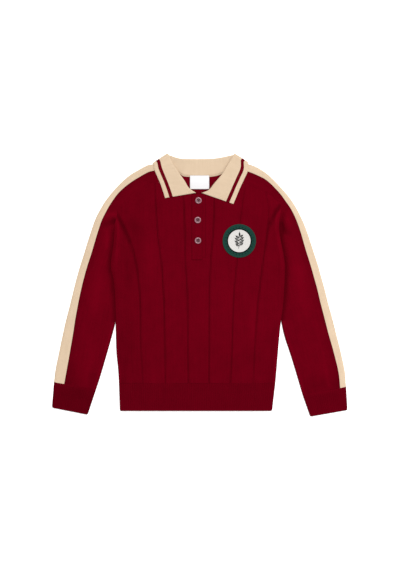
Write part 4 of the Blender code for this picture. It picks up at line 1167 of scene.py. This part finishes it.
# ---- placket, buttons, patch, label
def soft_plate(name, xs, ys, lift, thickness, roll, crown=0.0, rounded=0.7, base=front_height):
    """A flat piece of cloth that lies at a lift over its base, with rolled edges."""
    x, y = np.meshgrid(xs, ys)
    plan, low = np.dstack([x, y]), base(x, y) + lift
    near = np.minimum(np.minimum(x - xs[0], xs[-1] - x), np.minimum(y - ys[0], ys[-1] - y))
    swell = crown * np.sin(np.pi * (x - xs[0]) / (xs[-1] - xs[0]))
    top = low + thickness + swell - rolled(1 - near / roll) * thickness * rounded
    return shell(name, at_height(plan, top), at_height(plan, low), plan)


def make_placket(material):
    xs = mix(SLIT_RIGHT, SLIT_LEFT, spread(27, 1.6, TRIM_STEPS))
    ys = mix(SLIT_BOTTOM - 0.9, UNDER_BAND_TOP, spread(131, 2.0, TRIM_STEPS))
    under = soft_plate("placket_under_knit", xs, ys, -WALL, WALL - 0.1, 1.2, rounded=0.25)
    finish_sheet(under, material, "placket_under", "burgundy_knit", 27, 132, "back_knit")
    xs = mix(BAND_RIGHT, BAND_LEFT, spread(22, 1.1, TRIM_STEPS))
    ys = mix(BAND_BOTTOM, BAND_TOP, spread(138, 1.8, TRIM_STEPS))
    upper = soft_plate("placket_upper_knit", xs, ys, 0.1, BAND_THICKNESS, 2.0, crown=0.3)
    finish_sheet(upper, material, "placket_upper", "burgundy_knit", 22, 138,
                 "front_knit", "placket_under_knit")


def circle_line(centre, radius, z, angles):
    return [(centre[0] + radius * math.cos(a), centre[1] + radius * math.sin(a), z) for a in angles]


def lathe(name, profile, centre, segments=64):
    """A round body turned from a profile of radius and height that starts and ends at the middle."""
    angles = [math.tau * k / segments for k in range(segments)]
    rings = [circle_line(centre, radius, z, angles if radius else angles[:1]) for radius, z in profile]
    return skin(name, rings, 40)


def make_button(number, centre, material, thread):
    x, y = np.meshgrid(*[[c - BUTTON_RADIUS, c, c + BUTTON_RADIUS] for c in centre])
    seat = float(front_height(x, y).max()) + BAND_THICKNESS + 0.5
    top = seat + BUTTON_HEIGHT
    r = BUTTON_RADIUS
    profile = [(0, seat), (r - 1.3, seat), (r - 0.5, seat + 0.3), (r, seat + 1.0), (r, seat + 1.9),
               (r - 0.25, seat + 2.5), (r - 0.9, top - 0.1), (r - 1.6, top), (r - 2.4, top - 0.25),
               (r - 3.0, top - 0.9), (r - 3.6, top - 1.5), (0, top - 1.6)]
    hole = [(0, top - 6), (HOLE_RADIUS, top - 6), (HOLE_RADIUS, top + 2), (0, top + 2)]
    piece = lathe(f"button_{number}_resin", profile, centre)
    for dx, dy in ((1, 1), (1, -1), (-1, 1), (-1, -1)):
        spot = (centre[0] + dx * HOLE_OUT, centre[1] + dy * HOLE_OUT)
        bore = lathe("bore", hole, spot, 12)
        cut = piece.modifiers.new("bore", "BOOLEAN")
        cut.object = bore
        applied(piece, cut)
        bpy.data.objects.remove(bore)
    points = points_of(piece)
    away = np.hypot(points[:, 0] - centre[0], points[:, 1] - centre[1])
    # painted shade in the button's dish
    mark(piece, "dish_shade", 1 - smooth((away - 3.2) / 1.0))
    finish_piece(piece, material, f"button_{number}")
    z = top - 1.05
    for letter, way in (("a", 1), ("b", -1)):
        line = [(centre[0] + out, centre[1] + out * way, z - down)
                for out, down in ((-HOLE_OUT, 1.6), (-0.9, 0), (0.9, 0), (HOLE_OUT, 1.6))]
        cord = tube_along(f"button_{number}_thread_{letter}", line, 0.5)
        finish_piece(cord, thread, None)


def tube_along(name, line, radius, sides=8):
    """A closed round thread along a line of points, in mm."""
    path = through(line, 6)
    tangent = unit(np.gradient(path, axis=0))
    second = unit(np.cross(tangent, np.array([0.31, 0.17, 0.93])))
    third = np.cross(tangent, second)
    angles = np.linspace(0, 2 * np.pi, sides, endpoint=False)[None, :, None]
    ring = np.cos(angles) * second[:, None] + np.sin(angles) * third[:, None]
    return skin(name, [path[:1], *(path[:, None] + ring * radius), path[-1:]])


class Sewing:
    """Sews stitches of a thread along lines of points, in mm, each row a piece of its own."""

    def __init__(self, looks):
        self.tree, self.looks = stitch_row(), looks

    def sew(self, name, lines, thread, spacing, length, thickness, turn=0.0):
        points, edges = [], []
        for line in lines:
            edges += [(len(points) + k, len(points) + k + 1) for k in range(len(line) - 1)]
            points += [tuple(np.array(p) * MM) for p in line]
        mesh = bpy.data.meshes.new(name)
        mesh.from_pydata(points, edges, [])
        piece = new_piece(name, mesh)
        material = self.looks[thread]
        run_nodes(piece, self.tree, Spacing=spacing * MM, Length=length * MM, Thickness=thickness * MM,
                  Turn=turn, Material=material)
        finish_piece(piece, material, None)


def make_patch(material, sewing):
    middle = np.array(PATCH_AT)
    base = float(front_height(middle[:1], middle[1:])[0]) + GAP
    r, inside, face = PATCH_RADIUS, PATCH_INSIDE, base + 1.35
    profile = [(0, base), (r - 1.0, base), (r - 0.1, base + 0.4), (r - 0.3, base + 1.2),
               (r - 1.4, base + 1.55), (r - 2.2, base + 1.3), (inside + 2.6, base + 1.3),
               (inside + 1.2, base + 1.2), (inside, base + 1.0), (0, base + 1.05)]
    piece = lathe("patch_cloth", profile, PATCH_AT, 120)
    finish_sheet(piece, material, "patch", "patch_cloth", 70.4, 70.4, "front_knit")
    across_line, lean = math.pi / 2, 0.25
    angles = np.linspace(0, 2 * np.pi, 161)
    for name, radius, low, thread, spacing, length, thickness, turn in (
            ("patch_border", r - 1.3, 0, "green_thread", 0.72, 2.9, 0.85, -0.18),
            ("patch_ring_0", r - 4.2, 0.12, "green_thread", 0.74, 2.6, 0.8, lean),
            ("patch_ring_1", r - 6.2, 0.12, "green_thread", 0.74, 2.6, 0.8, -lean),
            ("patch_ring_2", r - 8.2, 0.12, "green_thread", 0.74, 2.6, 0.8, lean),
            ("patch_black_ring", inside + 1.2, 0.05, "black_thread", 0.72, 2.9, 0.9, -0.3)):
        line = circle_line(PATCH_AT, radius, face - low, angles)
        sewing.sew(name, [line], thread, spacing, length, thickness, across_line + turn)
    angles = np.arange(TICKS) * math.tau / TICKS
    ends = [circle_line(PATCH_AT, radius, face + 0.25, angles) for radius in (r - 7.9, r - 5.2)]
    sewing.sew("patch_ticks", list(zip(*ends)), "black_thread", 0.9, 1.5, 0.8)
    make_sprig(face - 0.1, sewing)


def make_sprig(z, sewing):
    """An ordinary sprig of leaves in black satin stitch."""
    def line(spots, per):
        return through([(PATCH_AT[0] + x, PATCH_AT[1] + y, z) for x, y in spots], per)

    stem = line([(-1.5, -15.5), (0.8, -6), (-0.6, 4), (0.4, 13)], 8)
    sewing.sew("sprig_stem", [stem], "black_thread", 1.0, 1.7, 0.9)
    leaves = []
    for up, length in ((-11, 8.5), (-6, 10.5), (0, 10.0), (6, 8.0)):
        for side in (-1, 1):
            root = np.array([side * 0.9, up + (1.8 if side > 0 else 0)])
            way = np.array([side * math.cos(0.62), math.sin(0.62)])
            bend = np.array([-way[1], way[0]]) * side
            for offset, share in ((-1.5, 0.72), (-0.75, 0.92), (0, 1.0), (0.75, 0.92), (1.5, 0.72)):
                start = root + way * (1 - share) * length * 0.7 + bend * offset * 0.6
                middle = root + way * length * 0.5 + bend * offset * 1.5
                end = root + way * length * (0.5 + share * 0.5) + bend * offset * 0.4
                leaves.append(line([start, middle, end], 6))
    leaves += [line([(0.4 + d * 0.5, 11), (0.4 + d, 14.5), (0.4 + d * 0.3, 18.5 - abs(d))], 6)
               for d in (-1.4, -0.7, 0, 0.7, 1.4)]
    sewing.sew("sprig_leaves", leaves, "black_thread", 1.1, 1.9, 0.8)


def on_surface(x, y, height):
    """A line of points at the height that a function gives; x or y may be one number."""
    x, y = np.broadcast_arrays(x, y)
    return np.column_stack([x, y, height(x, y)])


def make_label(material, sewing):
    right, left, low, high = LABEL_BOX
    xs = mix(right, left, spread(40, 1.6, LABEL_STEPS))
    ys = mix(low, high, spread(28, 1.4, LABEL_STEPS))

    def base(x, y):
        lift = 0.35 * np.sin(np.pi * (x - right) / (left - right)) * smooth((high - y) / 12)
        return raised_below(x, y) + WALL + 0.75 + lift

    piece = soft_plate("label_tape", xs, ys, 0.0, 0.8, 0.6, base=base)
    finish_sheet(piece, material, "neck_label", "label_tape", 40.3, 28.5, "back_knit")
    lines = [on_surface(x, np.linspace(low + 1.5, high - 1.5, 12), base) for x in (right + 1.6, left - 1.6)]
    lines.append(on_surface(np.linspace(right + 1.8, left - 1.8, 14), high - 1.6, base))
    sewing.sew("label_stitches", [line + [0, 0, 0.85] for line in lines], "white_thread", 2.4, 1.7, 0.4)


def make_sewing(sewing):
    """The linking chain along the back neck, and the stitches of the placket."""
    rows, turn = collar_runs()
    behind = rows[turn > 3.1]
    up = unit(behind[:, 2:4] - behind[:, 0:2])
    height = np.full(len(behind), COLLAR_RAISE + WALL + 0.15)
    for name, away, turn_by in (("neck_chain_low", 2.2, 0.55), ("neck_chain_high", 4.1, -0.55)):
        line = np.column_stack([behind[:, 0:2] + up * away, height])
        sewing.sew(name, [line], "cream_thread", 2.0, 2.5, 1.25, turn_by)
    x = np.linspace(BAND_RIGHT + 1.2, BAND_LEFT - 1.2, 16)
    y = np.linspace(BAND_BOTTOM + 2, BAND_TOP - 2, 60)
    lines = [on_surface(x, tack, front_height) + [0, 0, BAND_THICKNESS + 0.45]
             for tack in (BAND_BOTTOM + 1.6, BAND_BOTTOM + 9.0)]
    lines += [on_surface(edge, y, front_height) + [0, 0, BAND_THICKNESS + 0.1]
              for edge in (BAND_RIGHT + 1.7, BAND_LEFT - 1.7)]
    sewing.sew("placket_stitches", lines, "burgundy_thread", 2.6, 1.8, 0.45)


# ---- finishes
def shade(colour, by):
    return tuple(min(c * by, 1) for c in colour)


def knit_group():
    """Stockinette: two slanted legs to a stitch. Puts out the height, and a tone of uneven yarn with
    painted shade between the threads.
    """
    tree, given = new_tree("knit_stitches", "ShaderNodeTree",
                           {"Wale": WALE * MM, "Course": COURSE * MM, "Slant": 0.9, "Fuzz": 0.35},
                           {"Height": 0.0, "Tone": 0.0})
    spot = tree.out("ShaderNodeUVMap", uv_map="knit")
    u, v = tree.parts(spot)
    across_leg = abs((u / given["Wale"]).math("FRACT") - 0.5) * 2.0
    ridge = (across_leg * math.pi).math("SINE").math("MAXIMUM", 0.0) ** 0.6
    phase = (v / given["Course"] + across_leg * given["Slant"]) * math.tau
    stitch = ridge * phase.math("COSINE").math("MULTIPLY_ADD", 0.5, 0.5) ** 0.5
    hairs = tree.noise(tree.object_spot(), 1400.0, 3.0) * given["Fuzz"]
    uneven = tree.noise(tree.object_spot(), 45.0, 4.0)
    drawn = tree.out("ShaderNodeMapping", {"Vector": spot, "Scale": (330.0, 16.0, 1.0)})
    streaks = tree.noise(drawn, 1.0, 3.0)
    yarn = uneven.math("MULTIPLY_ADD", 0.5, streaks * 0.5)
    # the tone: painted shade between the threads, from the stitch's height, and the yarn's own unevenness
    tone = stitch.math("MULTIPLY_ADD", 0.45, yarn * 0.7)
    tree.node("NodeGroupOutput", {"Height": stitch + hairs, "Tone": tone})
    return tree.tree


def new_material(name, roughness, sheen=0.0, tint=(1, 1, 1), shine=0.02):
    material = bpy.data.materials.new(name)
    material.use_nodes = True
    shader = material.node_tree.nodes["Principled BSDF"]
    for key, value in (("Roughness", roughness), ("Metallic", 0.0), ("Specular IOR Level", shine),
                       ("Sheen Weight", sheen), ("Sheen Roughness", 0.5), ("Sheen Tint", (*tint, 1))):
        shader.inputs[key].default_value = value
    return material, Tree(material.node_tree), shader.inputs


def dress(tree, sockets, colour, height, strength, distance):
    """Gives a shader its colour and its relief."""
    tree.feed(colour, sockets["Base Color"])
    relief = {"Strength": strength, "Distance": distance, "Height": height}
    tree.feed(tree.out("ShaderNodeBump", relief), sockets["Normal"])


def knit_material(name, group, deep, light, wale=WALE, course=COURSE, sheen=0.12, tipping=None):
    material, tree, sockets = new_material(name, 0.92, sheen, light, 0.01)
    height, tone = tree.outs("ShaderNodeGroup", {"Wale": wale * MM, "Course": course * MM},
                             "Height", "Tone", node_tree=group)
    # painted light: the shell's painted shade and painted highlights move the colour towards deep or light
    colour = tree.blend(tone - tree.marked_point("sunk") * 0.75, deep, light)
    if tipping:
        start, width, *shades = tipping
        _, v = tree.parts(tree.out("ShaderNodeUVMap", uv_map="knit"))
        mask = abs(v - (start + width / 2) * MM).math("LESS_THAN", width / 2 * MM)
        colour = tree.blend(mask, colour, tree.blend(tone, *shades))
    dress(tree, sockets, colour, height, 0.5, 0.0007)
    return material


def thread_material(name, colour, roughness):
    """Sewing thread: a fine twist, from Object coordinates."""
    material, tree, sockets = new_material(name, roughness, 0.1, colour)
    twist = tree.noise(tree.object_spot(), 2200.0, 2.0)
    dress(tree, sockets, tree.blend(twist, shade(colour, 0.6), colour), twist, 0.35, 0.0003)
    return material


def patch_material():
    """Twill ground of the patch: a cream field in a green ring, by the distance to its middle."""
    material, tree, sockets = new_material("patch_twill", 0.8, 0.1)
    centre = (-PATCH_AT[0] * MM, -PATCH_AT[1] * MM, 0)
    x, y = tree.parts(tree.out("ShaderNodeMapping", {"Vector": tree.object_spot(), "Location": centre}))
    weave = ((x + y) * TWILL).wave()
    field, ring = (tree.blend(weave, shade(c, by), c) for c, by in ((PATCH_CREAM, 0.86), (GREEN, 0.7)))
    in_field = (x**2.0 + y**2.0).math("SQRT").math("LESS_THAN", PATCH_INSIDE * MM)
    dress(tree, sockets, tree.blend(in_field, ring, field), weave, 0.3, 0.0002)
    return material


def label_material():
    material, tree, sockets = new_material("label_satin", 0.5, shine=0.2)
    weave = (tree.parts(tree.object_spot())[1] * SATIN).wave()
    dress(tree, sockets, tree.blend(weave, shade(LABEL_WHITE, 0.93), LABEL_WHITE), weave, 0.15, 0.0002)
    return material


def button_material():
    """Clouded resin, with painted shade in the sunk middle."""
    material, tree, sockets = new_material("button_resin", 0.32, shine=0.5)
    sockets["Coat Weight"].default_value = 0.2
    cloud = tree.noise(tree.object_spot(), 210.0, 5.0, 0.8)
    resin = tree.blend(cloud, shade(BUTTON_MAUVE, 0.55), shade(BUTTON_MAUVE, 1.35))
    tree.feed(tree.blend(tree.marked_point("dish_shade"), resin, BUTTON_DISH_SHADE), sockets["Base Color"])
    tree.feed(cloud.math("MULTIPLY_ADD", 0.2, 0.22), sockets["Roughness"])
    return material


def make_looks():
    group = knit_group()
    return {
        "body": knit_material("burgundy_knit", group, BURGUNDY_DEEP, BURGUNDY),
        # the rib's colour is the body's burgundy darkened: painted shade of its ribs
        "rib": knit_material("burgundy_rib", group, BURGUNDY_DEEP, shade(BURGUNDY, 0.79)),
        "cream": knit_material("cream_knit", group, CREAM_DEEP, CREAM, sheen=0.05),
        "collar": knit_material("collar_knit", group, CREAM_DEEP, CREAM, 1.9, 1.5, 0.05,
                                (TIPPING_FROM_EDGE, TIPPING_WIDTH, BURGUNDY_DEEP, BURGUNDY)),
        "patch": patch_material(),
        "label": label_material(),
        "button": button_material(),
        **{name: thread_material(name, *look[1:]) for name, look in THREADS.items()},
    }


# ---- table, light and camera
def add_lamp(name, kind, energy, place, **settings):
    """Adds a lamp that shines from a place on the origin."""
    data = bpy.data.lights.new(name, kind)
    data.energy = energy
    for key, value in settings.items():
        setattr(data, key, value)
    lamp = new_piece(name, data)
    lamp.location = place
    lamp.rotation_euler = Vector(place).to_track_quat("Z", "Y").to_euler()


def make_studio():
    mesh = bpy.data.meshes.new("table")
    corners = [(x * TABLE_HALF, y * TABLE_HALF, 0) for x, y in ((-1, -1), (1, -1), (1, 1), (-1, 1))]
    mesh.from_pydata(corners, [], [(0, 1, 2, 3)])
    table = new_piece("table", mesh)
    table.location.z = -0.0002
    material, _, sockets = new_material("white_table", 0.9)
    sockets["Base Color"].default_value = (0.9, 0.9, 0.9, 1)
    sockets["Emission Color"].default_value = (1, 1, 1, 1)
    sockets["Emission Strength"].default_value = TABLE_GLOW
    mesh.materials.append(material)
    world = bpy.data.worlds.new("studio")
    world.use_nodes = True
    colour, strength = world.node_tree.nodes["Background"].inputs[:2]
    colour.default_value, strength.default_value = (1, 1, 1, 1), ROOM_LIGHT
    bpy.context.scene.world = world
    add_lamp("soft_window", "SUN", WINDOW_LIGHT, WINDOW_AT, angle=math.radians(24))
    add_lamp("side_lamp", "AREA", SIDE_LIGHT, SIDE_LIGHT_AT, size=SIDE_LIGHT_SIZE)
    data = bpy.data.cameras.new("photo")
    data.sensor_width = SENSOR
    data.lens = SENSOR * CAMERA_HEIGHT / (PHOTO_HEIGHT * PHOTO_SCALE * MM)
    camera = new_piece("photo", data)
    camera.location = (0, 0, CAMERA_HEIGHT)
    bpy.context.scene.camera = camera
    bpy.context.scene.view_settings.view_transform = "Standard"


def main():
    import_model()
    make_studio()
    looks = make_looks()
    ribs, sewing = rib_relief(), Sewing(looks)
    make_back(looks["body"])
    make_front(looks["body"])
    make_hem("hem_back_rib", "hem_back", True, looks["rib"], ribs)
    make_hem("hem_front_rib", "hem_front", False, looks["rib"], ribs)
    for left, side in enumerate(("right", "left")):
        make_sleeve(side, left, looks["body"])
        make_stripe(side, left, looks["cream"])
        make_cuff(side, left, looks["rib"], ribs)
    make_collar(looks["collar"])
    make_placket(looks["body"])
    for number, centre in enumerate(BUTTONS, start=1):
        make_button(number, centre, looks["button"], looks["burgundy_thread"])
    make_patch(looks["patch"], sewing)
    make_label(looks["label"], sewing)
    make_sewing(sewing)


main()
